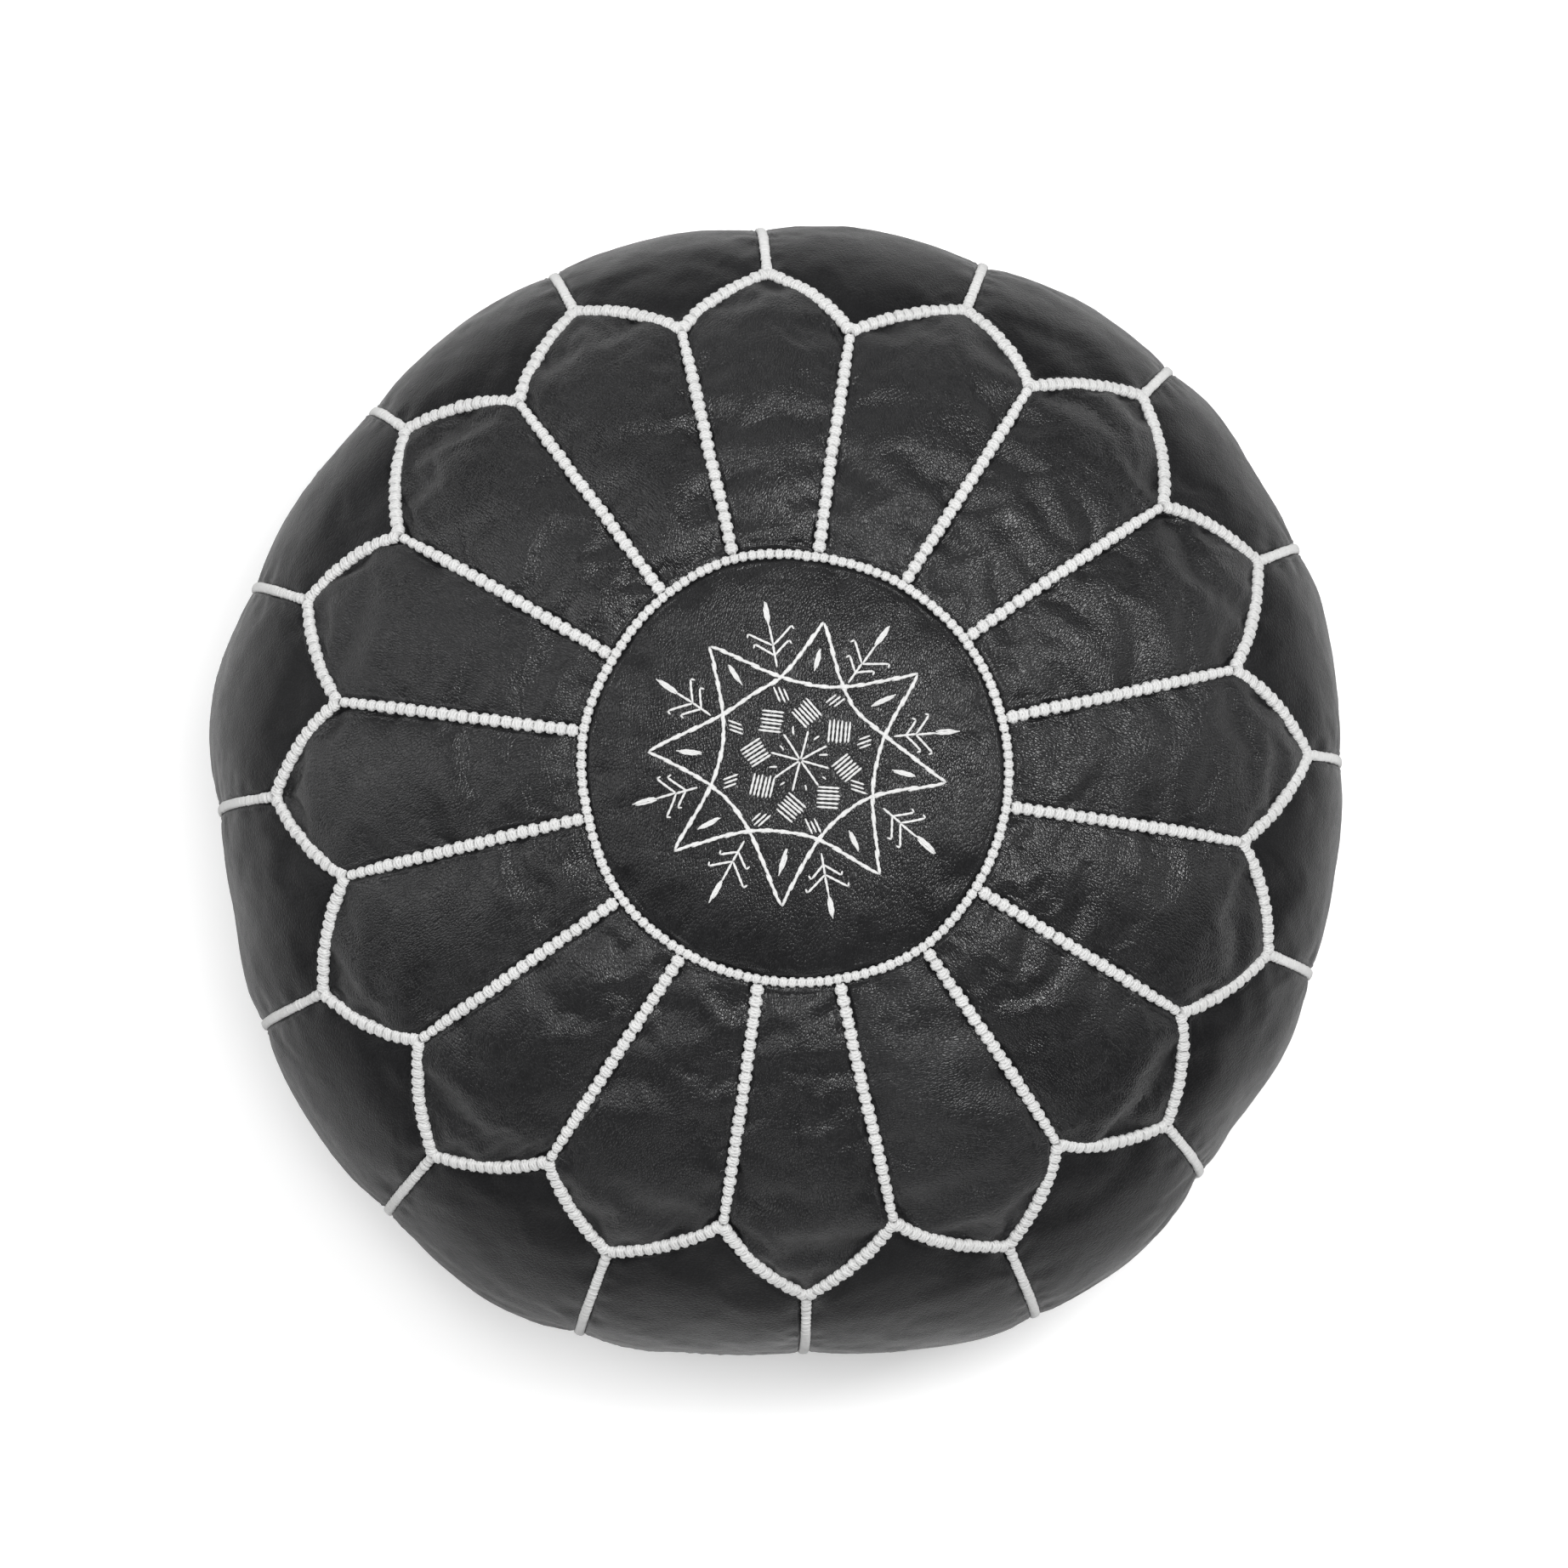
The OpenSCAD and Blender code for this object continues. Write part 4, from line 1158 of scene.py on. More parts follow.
def knots(P, t, n, b, hl, hw, hh, sink, flat_side=0, per_way=3, pinch=0.56):
    """A row of knots, each of crossing strands wound over a core. flat_side says on which side (+1 or -1 along b) the row is smooth."""
    M = len(P)
    jit = RNG.uniform(-1, 1, (M, 6))
    hw = hw * (1 + 0.045 * jit[:, 0])
    hh = hh * (1 + 0.07 * jit[:, 1])
    ang = np.radians(3.5 * jit[:, 2])[:, None]
    t, b = t * np.cos(ang) + b * np.sin(ang), b * np.cos(ang) - t * np.sin(ang)
    C0 = P + n * (hh * 0.5 - sink + 0.08 * jit[:, 3])[:, None] + b * (0.12 * jit[:, 4])[:, None]
    K = 9
    phi = np.linspace(-1, 1, K)
    psi = phi * math.radians(112)
    lines, ups, rads = [], [], []
    rs = hl * 1.28 / per_way / 1.5
    for way in (-1, 1):
        for m in range(per_way):
            x0 = ((m + 0.5) / per_way * 2 - 1) * 0.80
            e = RNG.uniform(-1, 1, (M, 3))
            x = x0 + 0.06 * e[:, :1] + way * (0.46 + 0.10 * e[:, 1:2]) * phi[None]
            x = np.clip(x, -0.96, 0.96)
            shrink = np.abs(x) ** 2.1
            side = np.sign(phi)[None] * np.ones((M, 1))
            keep = np.where(side * flat_side > 0, 0.45, 1.0)
            y = (hw - rs)[:, None] * spow(np.sin(psi), 0.85)[None] * (1 - pinch * shrink * keep)
            z = (hh - rs)[:, None] * spow(np.cos(psi), 0.80)[None] * (1 - 0.55 * pinch * shrink * (0.4 + 0.6 * keep))
            over = (0.09 * (1 if (m + (way > 0)) % 2 else -1) + 0.05 * e[:, 2:3]) * np.cos(psi)[None]
            z = z + over * hl[:, None] * 0.5
            C = C0[:, None] + x[..., None] * (hl[:, None, None] * t[:, None]) + y[..., None] * b[:, None] + z[..., None] * n[:, None]
            up_ = np.sin(psi)[None, :, None] * b[:, None] + np.cos(psi)[None, :, None] * n[:, None]
            lines.append(C)
            ups.append(np.broadcast_to(up_, C.shape))
            r = rs[:, None] * (1 - 0.25 * np.abs(phi)[None] ** 4) * (1 + 0.10 * e[:, :1])
            rads.append(np.broadcast_to(r, C.shape[:2]))
    V1 = tubes(np.concatenate(lines), np.concatenate(ups), np.concatenate(rads))
    V2 = cores(C0, t, n, b, hl * 1.02, hw - rs * 1.0, hh - rs * 0.75)
    return merge([V1, V2])


def wound_band(P, t, n, b, half_wide, half_high, r, sink, slant, cycle):
    """Close transverse strands over a cord: the finer seam down the sides."""
    M = len(P)
    K = 9
    phi = np.linspace(-1, 1, K)
    psi = phi * math.radians(108)
    e = RNG.uniform(-1, 1, (M, 4))
    wave = 0.5 + 0.5 * np.cos(2 * math.pi * np.arange(M) / cycle)
    hw = (half_wide * (1 + 0.07 * e[:, 0] - 0.05 * wave) - r)[:, None]
    hh = (half_high * (1 + 0.05 * e[:, 1] - 0.16 * wave) - r)[:, None]
    x = phi[None] * (slant * (1 + 0.35 * e[:, 2:3]) * np.where(np.arange(M)[:, None] % 2, 1.0, -0.55))
    y = hw * spow(np.sin(psi), 0.8)[None]
    z = hh * spow(np.cos(psi), 0.75)[None]
    C0 = P + n * (half_high * 0.5 - sink)
    C = C0[:, None] + x[..., None] * t[:, None] + y[..., None] * b[:, None] + z[..., None] * n[:, None]
    up_ = np.sin(psi)[None, :, None] * b[:, None] + np.cos(psi)[None, :, None] * n[:, None]
    rr = r * (1 + 0.12 * e[:, 3:4]) * np.ones((1, K))
    return tubes(C, np.broadcast_to(up_, C.shape), rr)


def normals_of(q):
    return surf(q[:, 0], q[:, 1])[1]


def braid_object(name, parts, node):
    V, Q, T = merge(parts)
    ob = mesh_object(name, V, Q, T, BRAID)
    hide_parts(node)
    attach(ob, "cover")
    return ob


def row_along(q, dip, pitch, wide, high, start, stop, sink=0.0, overlap=1.02, flat_side=0, per_way=3, pinch=0.56):
    line = seam_points(q, dip)
    nrm = normals_of(q)
    seg = np.linalg.norm(np.diff(line, axis=0), axis=1).sum()
    length = seg - start - stop
    n = max(2, int(round(length / pitch)))
    step = length / n
    places = start + step * (np.arange(n) + 0.5) + RNG.uniform(-0.05, 0.05, n) * step
    P, t, nn, b, _ = frames_along(line, nrm, places)
    f = places / seg
    w = np.array([wide(x) for x in f]) if callable(wide) else np.full(n, wide)
    h = np.array([high(x) for x in f]) if callable(high) else np.full(n, high)
    hl = np.full(n, step / 2 * overlap) * (1 + 0.03 * RNG.uniform(-1, 1, n))
    return knots(P, t, nn, b, hl, w / 2, h / 2, sink, flat_side, per_way, pinch)


def join_parts(parts):
    V, F, base = [], [], 0
    for v, f in parts:
        V.append(v)
        F.extend([[base + a for a in x] for x in f])
        base += len(v)
    return np.concatenate(V), F


# round the medallion
th = 90 - np.linspace(0, 360, 721)
ring_q = np.stack([th, ring_at(th)], -1)
braid_object("medallion_knots", [row_along(ring_q, DIP_RING, 4.0, 4.9, 4.0, 0.0, 0.0, sink=0.2)], "medallion_braid")

# between the petals: broad knots that get narrower towards the valley
tt = np.linspace(0, 1, 200)
for k in range(N):
    row = row_along(seam_radial(k, tt), DIP_RADIAL, 4.95, lambda x: 6.2 - 1.3 * smooth(x, 0.72, 1.0),
                    lambda x: 4.8 - 0.7 * smooth(x, 0.8, 1.0), 2.4, 1.0, sink=0.2)
    braid_object("petal_seam_knots_%02d" % (k + 1), [row], "petal_braids")

# round the petal points: smooth against the petal, knotted on the outside
for k in range(N):
    rows = []
    for side in (0, 1):
        q = seam_scallop(k, side, tt)
        line = seam_points(q, DIP_SCALLOP)
        _, t_, n_, b_, _ = frames_along(line, normals_of(q), np.array([10.0]))
        inward = np.array([-line[100, 0], -line[100, 1], 0.0])
        flat = 1 if (b_[0] @ inward) > 0 else -1
        rows.append(row_along(q, DIP_SCALLOP, 4.5, lambda x: 6.9 - 0.6 * abs(x - 0.5), 5.2, 0.5, 0.2, sink=-0.1, flat_side=flat))
    braid_object("petal_point_knots_%02d" % (k + 1), rows, "petal_tip_braids")

# down the sides: a few knots, then a finer, closer band over a cord
t3 = np.linspace(0, 1, 400)
for k in range(N):
    q = seam_side(k, t3)
    dip = dip_side(t3)
    line = seam_points(q, dip)
    seg = np.concatenate([[0], np.cumsum(np.linalg.norm(np.diff(line, axis=0), axis=1))])
    nrm = normals_of(q)
    cut = int(np.searchsorted(seg, 8.0 + 5.0 * abs(math.sin(1.7 * k))))
    parts = [row_along(q[:cut], dip[:cut], 3.7, 5.2, 4.0, 2.2, 0.0, sink=0.2)]
    pitch = 1.46
    places = np.arange(seg[cut] + 0.4, seg[-1] - 2.0, pitch)
    P, t_, n_, b_, _ = frames_along(line, nrm, places)
    parts.append(wound_band(P, t_, n_, b_, 2.4, 1.6, 0.74, 0.6, 0.3, 2.7))
    core_at = np.arange(seg[cut], seg[-1] - 2.0, 2.0)
    P, t_, n_, b_, _ = frames_along(line, nrm, core_at)
    one = np.ones(len(core_at))
    parts.append(cores(P + n_ * 0.1, t_, n_, b_, 1.7 * one, 1.7 * one, 1.0 * one))
    braid_object("side_seam_band_%02d" % (k + 1), parts, "side_braids")

# ------------------------------------------------------------------ embroidery
# Plan positions in mm of the free-hand motif, clockwise from the point nearest +Y.
CENTRE = (3.5, 3.0)
POINTS = [(16.5, 63.5), (57.0, 39.0), (67.0, -9.5), (36.0, -48.5), (-7.5, -60.5), (-53.5, -34.0), (-63.0, 10.0), (-34.0, 55.0)]
CROSSES = [(23.5, 34.5), (41.0, 12.5), (34.5, -14.0), (10.0, -32.0), (-20.0, -27.0), (-36.0, -6.5), (-29.5, 24.5), (-3.5, 40.0)]
BOWS = [(29.5, 23.0), (36.0, -2.5), (21.5, -21.0), (-4.5, -28.0), (-27.0, -15.5), (-30.5, 9.5), (-16.5, 32.5), (9.5, 36.0)]
SQUARES = [(-8.5, 20.5, -9), (7.0, 23.5, -50), (21.0, 15.0, -98), (23.5, -1.0, 37), (15.0, -13.5, -5), (-1.5, -17.5, -43), (-13.5, -7.5, -105), (-16.0, 7.0, 30)]
RAYS = [(7.5, 16.0), (15.5, 9.0), (16.0, -1.0), (11.0, -8.5), (-0.5, -10.5), (-8.5, -4.5), (-9.5, 7.0), (-3.5, 15.0)]
SPRIGS = [((25.5, 36.0), (45.5, 61.0)), ((44.5, 12.0), (74.5, 13.5)), ((38.5, -19.0), (61.5, -40.0)), ((11.0, -37.5), (15.0, -67.0)),
          ((-22.0, -31.0), (-39.0, -58.0)), ((-41.5, -7.0), (-71.0, -13.5)), ((-34.5, 24.0), (-58.5, 41.5)), ((-5.0, 44.0), (-9.5, 74.0))]
LEAVES = [((14.5, 52.0), (11.0, 41.5)), ((47.0, 30.5), (35.0, 25.5)), ((54.0, -6.0), (43.0, -2.5)), ((27.5, -38.0), (23.5, -28.0)),
          ((-8.0, -47.5), (-3.5, -35.0)), ((-43.0, -25.5), (-32.0, -20.5)), ((-51.0, 9.5), (-39.0, 7.5)), ((-26.5, 46.5), (-20.5, 36.5))]
TICKS = [(19.5, 28.5, 36), (32.0, 10.0, 18), (28.0, -9.5, -20), (8.0, -26.0, -67), (-15.0, -22.0, 40), (-27.5, -5.0, 18), (-24.0, 18.5, -22), (-3.5, 32.0, -69)]
SEEDS = [((9.5, 11.5), (12.5, 13.5)), ((11.5, 5.0), (16.0, 5.0)), ((12.5, -4.5), (14.5, -6.0)), ((5.0, -7.5), (5.5, -10.5)),
         ((-6.0, -7.5), (-3.5, -6.0)), ((-10.5, 0.5), (-6.5, 0.5)), ((-5.5, 10.0), (-3.5, 7.5)), ((1.0, 18.5), (1.0, 14.0))]


def thread(points, width, height=None, twist=3.0, taper=1.6, lift=0.0, round_n=10):
    """One stitch over the leather along plan points in mm: a two-ply thread that dives in at both ends."""
    height = height or width * 0.62
    pts = np.asarray(points, float)
    seg = np.concatenate([[0], np.cumsum(np.linalg.norm(np.diff(pts, axis=0), axis=1))])
    L = seg[-1]
    n = max(6, int(L / 0.45))
    s = np.linspace(0, L, n + 1)
    x, y = np.interp(s, seg, pts[:, 0]), np.interp(s, seg, pts[:, 1])
    C = np.stack([x, y, medal_height(x, y)], -1)
    t = np.gradient(C, axis=0)
    t /= np.linalg.norm(t, axis=1)[:, None]
    nrm = np.stack([x * 0.0016, y * 0.0016, np.ones_like(x)], -1)
    nrm = nrm - (nrm * t).sum(1)[:, None] * t
    nrm /= np.linalg.norm(nrm, axis=1)[:, None]
    b = np.cross(nrm, t)
    end = np.minimum(s, L - s)
    k = np.clip(end / taper, 0, 1) ** 0.55
    dive = (1 - np.clip(end / (taper * 1.1), 0, 1)) ** 2
    a = np.arange(round_n) * 2 * math.pi / round_n
    ph = s / twist * 2 * math.pi
    rr = 1 + 0.14 * np.cos(2 * a[None] - ph[:, None])
    w = np.maximum(k, 0.12)[:, None]
    mid = C + nrm * (height * (0.42 + lift) * k - 0.5 * height * dive)[:, None]
    ring = mid[:, None] + (np.cos(a)[None] * rr * width / 2 * w)[..., None] * b[:, None] + (np.sin(a)[None] * rr * height / 2 * np.maximum(w, 0.3))[..., None] * nrm[:, None]
    V = ring.reshape(-1, 3)
    F = []
    for i in range(n):
        for j in range(round_n):
            q = (j + 1) % round_n
            F.append([i * round_n + j, i * round_n + q, (i + 1) * round_n + q, (i + 1) * round_n + j])
    F.append(list(range(round_n))[::-1])
    F.append([n * round_n + j for j in range(round_n)])
    return V, F


def embroider(name, node, parts):
    V, F = join_parts(parts)
    ob = new_object(name, V, F, THREAD)
    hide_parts(node)
    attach(ob, "cover")
    return ob


def jig(k, seed, amount):
    r = np.random.RandomState(seed * 97 + k)
    return r.uniform(-amount, amount, 8)


def spline(points, n):
    """Smooth line through plan points."""
    p = np.asarray(points, float)
    d = np.concatenate([[0], np.cumsum(np.linalg.norm(np.diff(p, axis=0), axis=1) ** 0.5)])
    m = np.zeros_like(p)
    m[1:-1] = ((p[1:-1] - p[:-2]) / (d[1:-1] - d[:-2])[:, None] * (d[2:] - d[1:-1])[:, None]
               + (p[2:] - p[1:-1]) / (d[2:] - d[1:-1])[:, None] * (d[1:-1] - d[:-2])[:, None]) / (d[2:] - d[:-2])[:, None]
    m[0] = (p[1] - p[0]) / (d[1] - d[0])
    m[-1] = (p[-1] - p[-2]) / (d[-1] - d[-2])
    x = np.linspace(0, d[-1], n)
    i = np.clip(np.searchsorted(d, x, side="right") - 1, 0, len(p) - 2)
    h = (d[i + 1] - d[i])[:, None]
    t = ((x - d[i])[:, None]) / h
    return ((2 * t ** 3 - 3 * t ** 2 + 1) * p[i] + (t ** 3 - 2 * t ** 2 + t) * h * m[i] + (-2 * t ** 3 + 3 * t ** 2) * p[i + 1] + (t ** 3 - t ** 2) * h * m[i + 1])


def stem_stitch(line, stitch, width, seed, lift=0.0, slant=0.42):
    """Overlapping stitches along a line, each beginning beside the middle of the one before."""
    seg = np.concatenate([[0], np.cumsum(np.linalg.norm(np.diff(line, axis=0), axis=1))])
    n = max(2, int(round(seg[-1] / stitch)))
    step = seg[-1] / n
    out = []
    for m in range(n):
        e = jig(seed * 31 + m, 2, 0.12)
        a, b = max(0.0, (m - 0.55 + e[1]) * step), min(seg[-1], (m + 1.12 + e[2]) * step)
        s = np.linspace(a, b, 14)
        q = np.stack([np.interp(s, seg, line[:, 0]), np.interp(s, seg, line[:, 1])], -1)
        d = np.gradient(q, axis=0)
        d /= np.linalg.norm(d, axis=1)[:, None]
        nn = np.stack([-d[:, 1], d[:, 0]], -1)
        w = (s - a) / (b - a) - 0.5
        out.append(thread(q + nn * (2 * slant * w + e[0])[:, None], width, width * 0.68, taper=1.6, lift=lift))
    return out


def straight(a, b, n=10, bend=0.0):
    a, b = np.array(a, float), np.array(b, float)
    s = np.linspace(0, 1, n)[:, None]
    d = b - a
    nn = np.array([-d[1], d[0]]) / max(np.linalg.norm(d), 1e-6)
    return a + d * s + nn * bend * np.sin(math.pi * s)


def satin(a, b, width, seed, strands=3, thick=1.05):
    """A leaf of satin stitch: a few strands side by side that nearly meet at the ends, never quite evenly."""
    a, b = np.array(a, float), np.array(b, float)
    d = b - a
    L = np.linalg.norm(d)
    d /= L
    nn = np.array([-d[1], d[0]])
    out = []
    s = np.linspace(0, 1, 16)
    for i in range(strands):
        off = (i - (strands - 1) / 2) * 2 / max(1, strands - 1)
        e = jig(seed * 7 + i, 3, 1.0)
        side = off * (width - thick) / 2 * (0.55 + 0.45 * np.sin(math.pi * s))
        lo, hi = 0.10 * abs(off) * (1 + e[0]), 1 - 0.10 * abs(off) * (1 + e[1])
        line = a + d * ((lo + (hi - lo) * s) * L)[:, None] + nn * (side + 0.12 * e[2] + 0.25 * e[3] * (s - 0.5))[:, None]
        out.append(thread(line, thick * (1 + 0.08 * e[4]), thick * 0.68, taper=2.2, lift=0.18 if off == 0 else 0.0))
    return out


# star: eight inward-bowed lines of stem stitch, each over the next
parts = []
for k in range(8):
    line = spline([POINTS[k], CROSSES[k], BOWS[k], CROSSES[(k + 1) % 8], POINTS[(k + 2) % 8]], 90)
    parts.extend(stem_stitch(line, 8.0, 1.38, k, lift=0.15 * (k % 2), slant=0.5))
embroider("star_stitches", "star_outline", parts)

parts = []
for k in range(8):
    parts.extend(satin(LEAVES[k][0], LEAVES[k][1], 2.3, k, strands=3, thick=0.95))
embroider("star_point_leaves", "star_point_stitches", parts)

# wheat sprigs between the points
parts = []
for k in range(8):
    base, tip = np.array(SPRIGS[k][0]), np.array(SPRIGS[k][1])
    L = np.linalg.norm(tip - base)
    ax = (tip - base) / L
    sd = np.array([ax[1], -ax[0]])
    j = jig(k, 5, 1.0)

    def at(u, v):
        return base + ax * u + sd * v

    parts.append(thread(straight(at(0, 0.2 * j[0]), at(0.35 * L, 0.2 * j[1])), 1.08, 0.75))
    parts.append(thread(straight(at(0.33 * L, 0.15), at(0.64 * L, 0.1 * j[2])), 1.08, 0.75))
    parts.extend(satin(at(0.60 * L, 0), tip, 2.6, 20 + k, strands=3, thick=1.0))
    for side in (-1, 1):
        e = jig(k * 2 + (side > 0), 6, 1.0)
        for u0, reach in ((0.19 * L, 9.2), (0.34 * L, 11.6)):
            a = math.radians(53 + 3.5 * e[0])
            reach = reach + 1.2 * e[1]
            u1, v1 = u0 + reach * math.cos(a), side * reach * math.sin(a)
            parts.append(thread(straight(at(u0 - 0.3, 0), at(u1, v1), bend=0.25 * e[2]), 1.05, 0.72, taper=1.2))
            parts.append(thread(straight(at(u1 + 0.15, v1 - 0.15 * side), at(u1 - 2.1, v1 + side * (0.7 + 0.3 * e[3]))), 1.0, 0.7, taper=0.8))
            e = np.roll(e, 3)
embroider("wheat_sprig_stitches", "wheat_sprigs", parts)

# hatched squares
parts = []
for k in range(8):
    cx, cy, way = SQUARES[k]
    a = math.radians(way)
    ax, sd = np.array([math.cos(a), math.sin(a)]), np.array([-math.sin(a), math.cos(a)])
    for m in range(6):
        e = jig(k * 6 + m, 8, 1.0)
        c = np.array([cx, cy]) + sd * ((m - 2.5) * 1.74 + 0.1 * e[0]) + ax * (0.35 * e[1])
        half = 5.1 + 0.35 * e[2]
        parts.append(thread(straight(c - ax * half, c + ax * half + sd * 0.25 * e[3]), 1.0, 0.72, taper=1.2))
embroider("hatched_square_stitches", "hatched_squares", parts)

# the rays in the middle
parts = []
for k in range(8):
    c = np.array(CENTRE)
    d = np.array(RAYS[k]) - c
    parts.append(thread(straight(c + d * 0.03, c + d, bend=0.15 * jig(k, 9, 1.0)[0]), 1.0, 0.72, taper=1.0, lift=0.15 * (k % 3)))
embroider("centre_ray_stitches", "centre_rays", parts)

parts = []
for k in range(8):
    parts.append(thread(straight(SEEDS[k][0], SEEDS[k][1], bend=0.25 * jig(k, 10, 1.0)[0]), 0.95, 0.68, taper=1.1))
embroider("centre_dash_stitches", "centre_dashes", parts)

parts = []
for k in range(8):
    cx, cy, way = TICKS[k]
    a = math.radians(way)
    ax, sd = np.array([math.cos(a), math.sin(a)]), np.array([-math.sin(a), math.cos(a)])
    for m in range(-1, 2):
        e = jig(k * 3 + m + 1, 12, 1.0)
        c = np.array([cx, cy]) + sd * (m * 1.75 + 0.15 * e[0]) + ax * (0.9 * m * (1 if k % 2 else -1) + 0.4 * e[1])
        half = 3.5 + 0.6 * e[2]
        parts.append(thread(straight(c - ax * half, c + ax * half), 0.92, 0.66, taper=1.3))
embroider("hatch_mark_stitches", "hatch_marks", parts)

# ------------------------------------------------------------------ filling and base
def lathe(points, nt, seed, rough_mm):
    V = []
    for i in range(nt):
        a = 2 * math.pi * i / nt
        for r, z in points:
            V.append((r * math.cos(a), r * math.sin(a), z))
    V = np.array(V, float)
    nr_ = len(points)
    F = []
    for i in range(nt):
        j = (i + 1) % nt
        for r in range(nr_ - 1):
            F.append([i * nr_ + r, i * nr_ + r + 1, j * nr_ + r + 1, j * nr_ + r])
    F.append([i * nr_ for i in range(nt)])
    F.append([i * nr_ + nr_ - 1 for i in range(nt)][::-1])
    return V, F


inset = 7.5
k_ = np.linspace(40, len(PS) - 1, 90).astype(int)
prof = PRZ[k_] - np.stack([-_t[k_, 1], _t[k_, 0]], -1) * inset
wide_ = smooth(PS[k_], S_BELLY - 125, S_BELLY - 10) * (1 - 0.85 * smooth(PS[k_], S_BELLY + 20, S_END))
wide_ = np.concatenate([wide_[prof[:, 1] > 17], [0.1, 0.0, 0.0]])
prof = prof[prof[:, 1] > 17]
prof = np.concatenate([prof, [[prof[-1, 0] - 6, 16.0], [150.0, 16.0], [60.0, 16.0]]])
V, F = lathe([tuple(p) for p in prof], 160, 5, 1.0)
# the filling follows the cover where the cover is packed out or slack
away = V[:, :2] / np.linalg.norm(V[:, :2], axis=1)[:, None]
V[:, :2] += away * (np.tile(wide_, 160) * lean(np.degrees(np.arctan2(V[:, 1], V[:, 0]))))[:, None]
n0 = V / np.linalg.norm(V, axis=1)[:, None]
V = V + n0 * (0.8 * noise3(V / 22.0, 61) - 0.6)[:, None]
wad = new_object("wadding", V, F, WADDING)
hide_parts("filling")
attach(wad, "cover")


def base_height(x, y):
    """Underside height of the base leather over the floor in mm: flat, and raised along the zip."""
    ax, ay = np.abs(x), np.abs(y)
    hx = 1 - smooth(ax, ZIP_HALF + 10, ZIP_HALF + 27)
    hy = 1 - smooth(ay, 19, 36)
    return 7.0 * hx * hy


for side, node in ((1, "base_panel_back"), (-1, "base_panel_front")):
    nu, nv = 181, 60
    X = np.sin(np.linspace(-math.pi / 2, math.pi / 2, nu)) * (BASE_R - 0.3)
    V01 = np.concatenate([[0, 0.004, 0.01, 0.018, 0.028, 0.04], np.linspace(0.055, 1, nv - 6)])
    Xg = np.repeat(X[:, None], nv, 1)
    open_y = 8.0 * (1 - smooth(np.abs(Xg), ZIP_HALF + 4, ZIP_HALF + 9)) + 0.4
    far = np.sqrt(np.maximum((BASE_R - 0.3) ** 2 - Xg ** 2, 0))
    open_y = np.minimum(open_y, far * 0.5)
    Yg = open_y + (far - open_y) * V01[None]
    Z = base_height(Xg, Yg)
    Pg = np.stack([Xg, Yg, Z], -1)
    e = Yg - open_y
    ripple = 0.45 * (fbm(np.stack([Xg / 16, Yg / 16, Xg * 0 + side * 5], -1), 71) + 1) * smooth(e, 2, 14) * smooth(Yg, 22, 36) * smooth(BASE_R - np.hypot(Xg, Yg), 1, 14)
    ridge = 0.35 * np.exp(-((e - 2.8) / 0.9) ** 2)
    Z = Z + ripple - ridge * 0
    Z = np.maximum(Z, 0.0)
    under = np.stack([Xg, side * Yg, Z], -1)
    upper = np.stack([Xg, side * Yg, Z + 1.5], -1)
    Vv = np.concatenate([under.reshape(-1, 3), upper.reshape(-1, 3)])
    ob = new_object("base_leather_%s" % ("back" if side > 0 else "front"), Vv, sheet_faces(nu, nv, side < 0), SIDE_LEATHERS[0])
    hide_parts(node)
    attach(ob, "cover")

# the zip's CAD nodes keep their shape and get their materials
for name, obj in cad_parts.items():
    mat = None
    if name in ("zip_slider", "zip_pull", "zip_end_stop", "zip_closing_stops"):
        mat = NICKEL
    elif name.startswith("zip_teeth"):
        mat = TOOTH
    elif name.startswith("zip_tape"):
        mat = TAPE
    if mat is not None:
        obj.data.materials.clear()
        obj.data.materials.append(mat)
        bev = obj.modifiers.new("edges", "BEVEL")
        bev.width = 0.00015
        bev.segments = 2
        bev.limit_method = "ANGLE"
        bev.angle_limit = math.radians(40)

# ------------------------------------------------------------------ floor, light, world
floor_me = bpy.data.meshes.new("floor")
g = 24
fv, ff = [], []
for i in range(g + 1):
    for j in range(g + 1):
        fv.append(((i / g - 0.5) * 24, (j / g - 0.5) * 24, -0.0003))
for i in range(g):
    for j in range(g):
        a = i * (g + 1) + j
        ff.append((a, a + g + 1, a + g + 2, a + 1))
floor_me.from_pydata(fv, [], ff)
floor = bpy.data.objects.new("floor", floor_me)
bpy.context.scene.collection.objects.link(floor)
fm, fnt, fb = material("floor_white")
ftc = add(fnt, "ShaderNodeTexCoord")
fno = add(fnt, "ShaderNodeTexNoise")
fno.inputs["Scale"].default_value = 3.0
fnt.links.new(ftc.outputs["Object"], fno.inputs["Vector"])
fnt.links.new(ramp(fnt, fno.outputs[0], [(0.3, (0.93, 0.93, 0.93)), (0.7, (0.95, 0.95, 0.95))]).outputs[0], fb.inputs["Base Color"])
fb.inputs["Roughness"].default_value = 0.8
fb.inputs["Specular IOR Level"].default_value = 0.2
fb.inputs["Emission Color"].default_value = (1, 1, 1, 1)
# painted light: for camera rays only, the floor glows at 0.24 near the pouf, which lifts its shadow there, rising to
# full white far off
flp = add(fnt, "ShaderNodeLightPath")
flen = add(fnt, "ShaderNodeVectorMath")
flen.operation = "LENGTH"
fnt.links.new(ftc.outputs["Object"], flen.inputs[0])
painted_floor_glow = ramp(fnt, math_node(fnt, "MULTIPLY", flen.outputs["Value"], 0.25), [(0.16, (0.24, 0.24, 0.24)), (0.6, (1, 1, 1))]).outputs[0]
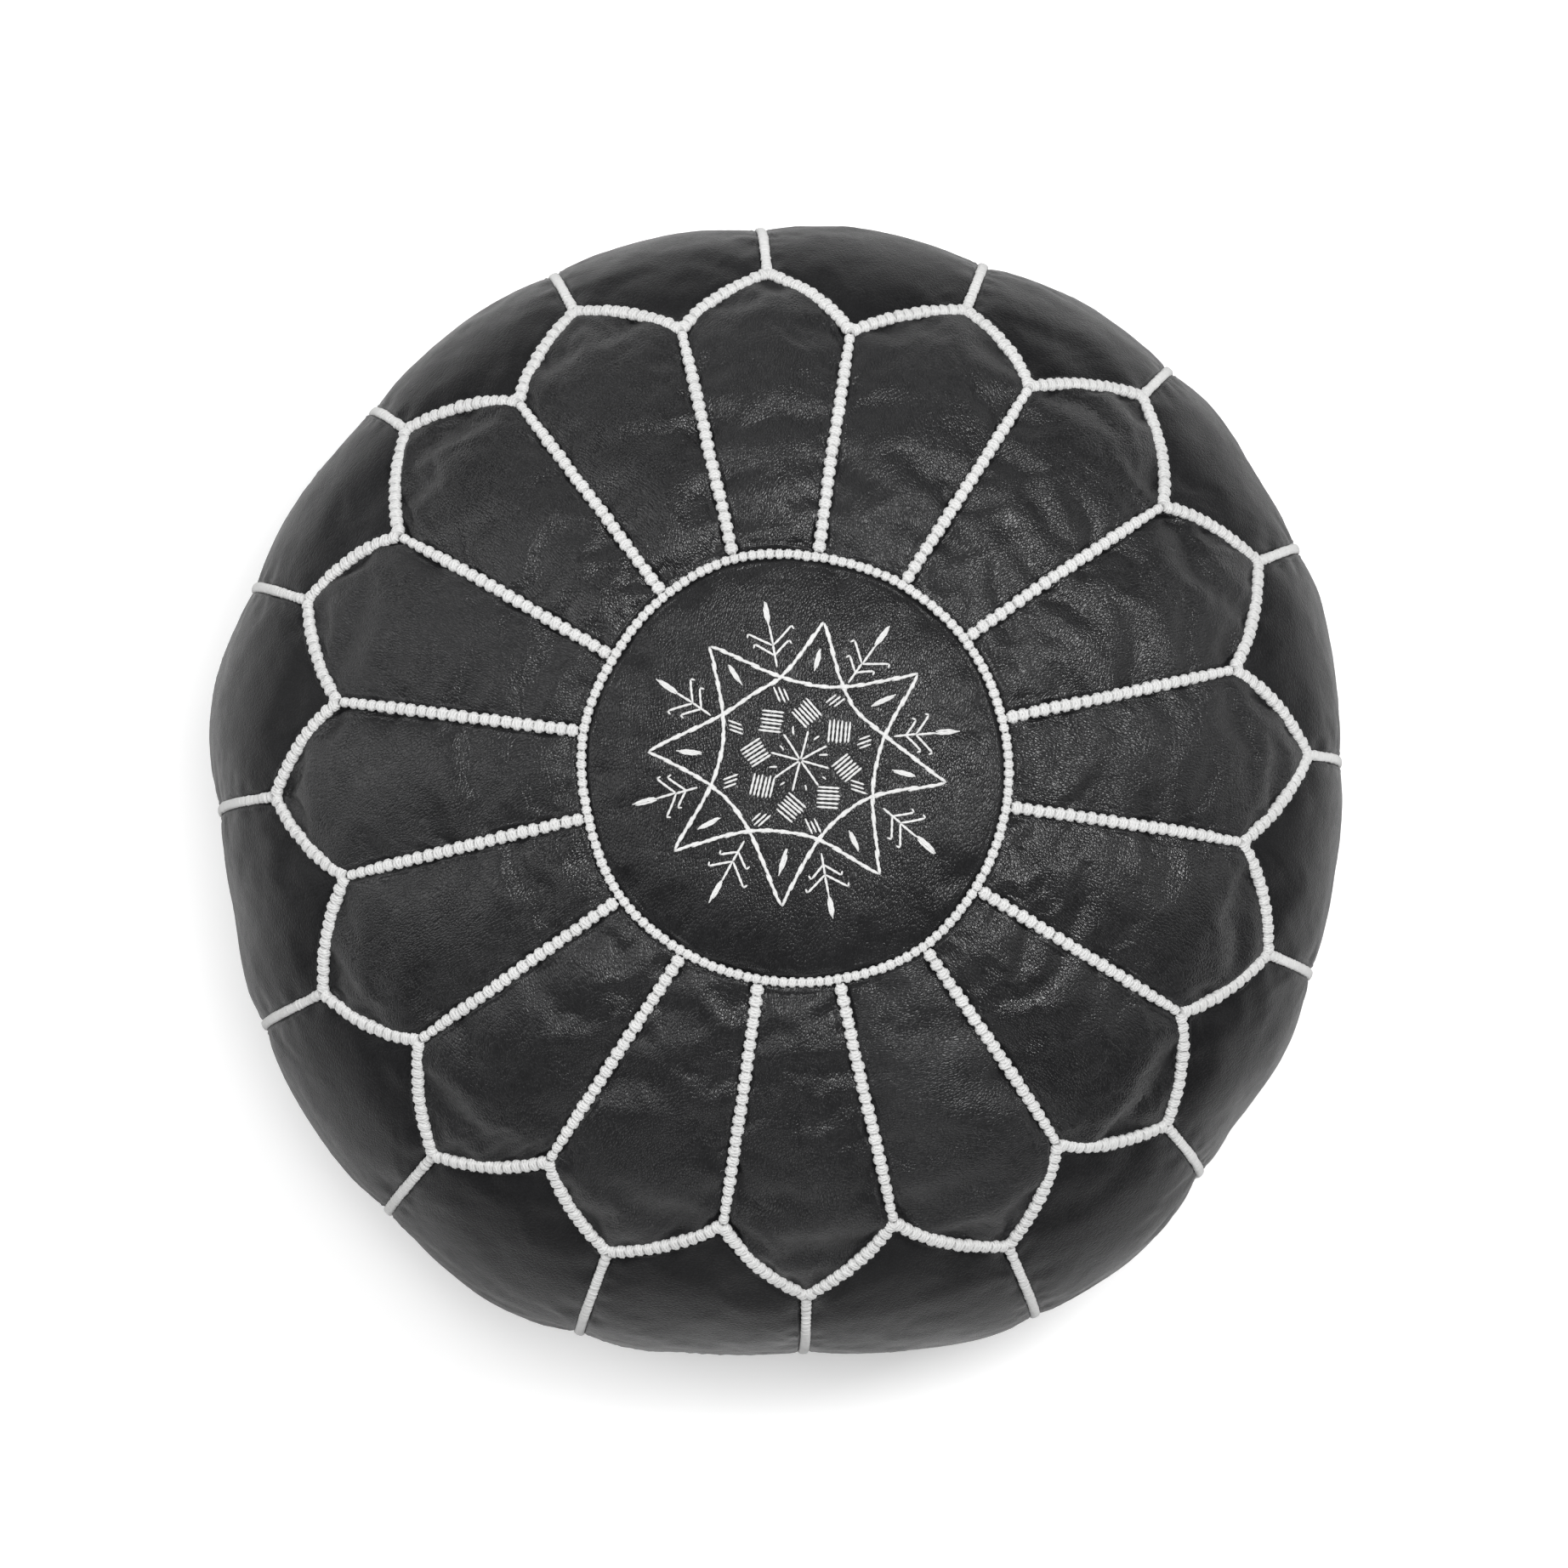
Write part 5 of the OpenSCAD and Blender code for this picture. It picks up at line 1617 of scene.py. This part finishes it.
fnt.links.new(math_node(fnt, "MULTIPLY", flp.outputs["Is Camera Ray"], painted_floor_glow), fb.inputs["Emission Strength"])
floor_me.materials.append(fm)

# a dim room, with a white backdrop where the camera looks past the floor
world = bpy.data.worlds.new("world")
bpy.context.scene.world = world
world.use_nodes = True
wt = world.node_tree
bg = wt.nodes["Background"]
bg.inputs[0].default_value = (1, 1, 1, 1)
lp = wt.nodes.new("ShaderNodeLightPath")
wm = wt.nodes.new("ShaderNodeMath")
wm.operation = "MULTIPLY_ADD"
wt.links.new(lp.outputs["Is Camera Ray"], wm.inputs[0])
wm.inputs[1].default_value = 0.87
wm.inputs[2].default_value = 0.13
wt.links.new(wm.outputs[0], bg.inputs[1])


def softbox(name, azimuth, tilt, dist, size, power):
    """A square softbox aimed at the pouf: azimuth from +X towards +Y, tilt from the vertical, in degrees."""
    a, t = math.radians(azimuth), math.radians(tilt)
    d = bpy.data.lights.new(name, "AREA")
    d.shape = "RECTANGLE"
    d.size, d.size_y = size
    d.energy = power
    o = bpy.data.objects.new(name, d)
    bpy.context.scene.collection.objects.link(o)
    o.location = (dist * math.sin(t) * math.cos(a), dist * math.sin(t) * math.sin(a), 0.2 + dist * math.cos(t))
    v = Vector((0, 0, 0.2)) - o.location
    o.rotation_mode = "QUATERNION"
    o.rotation_quaternion = v.to_track_quat("-Z", "Y")
    return o


# an overhead scrim lights the floor and the cords evenly and is left out of the leather's shine; the softboxes make the shine
scrim = softbox("scrim", 90, 2, 3.3, (0.9, 0.9), 56)
scrim.visible_glossy = False
scrim.visible_camera = False
softbox("key", 27, 22, 2.6, (0.7, 0.7), 36)
softbox("keyleft", 172, 32, 2.6, (0.7, 0.7), 7)
softbox("top", 100, 62, 2.4, (1.8, 1.1), 7)
softbox("left", 168, 60, 2.4, (1.3, 1.5), 13)
softbox("right", 2, 66, 2.4, (1.1, 1.5), 6)
softbox("front", 268, 68, 2.5, (1.6, 0.9), 8)
bpy.context.scene.view_settings.view_transform = "Standard"
bpy.context.scene.view_settings.look = "None"
bpy.context.scene.view_settings.exposure = 0.0
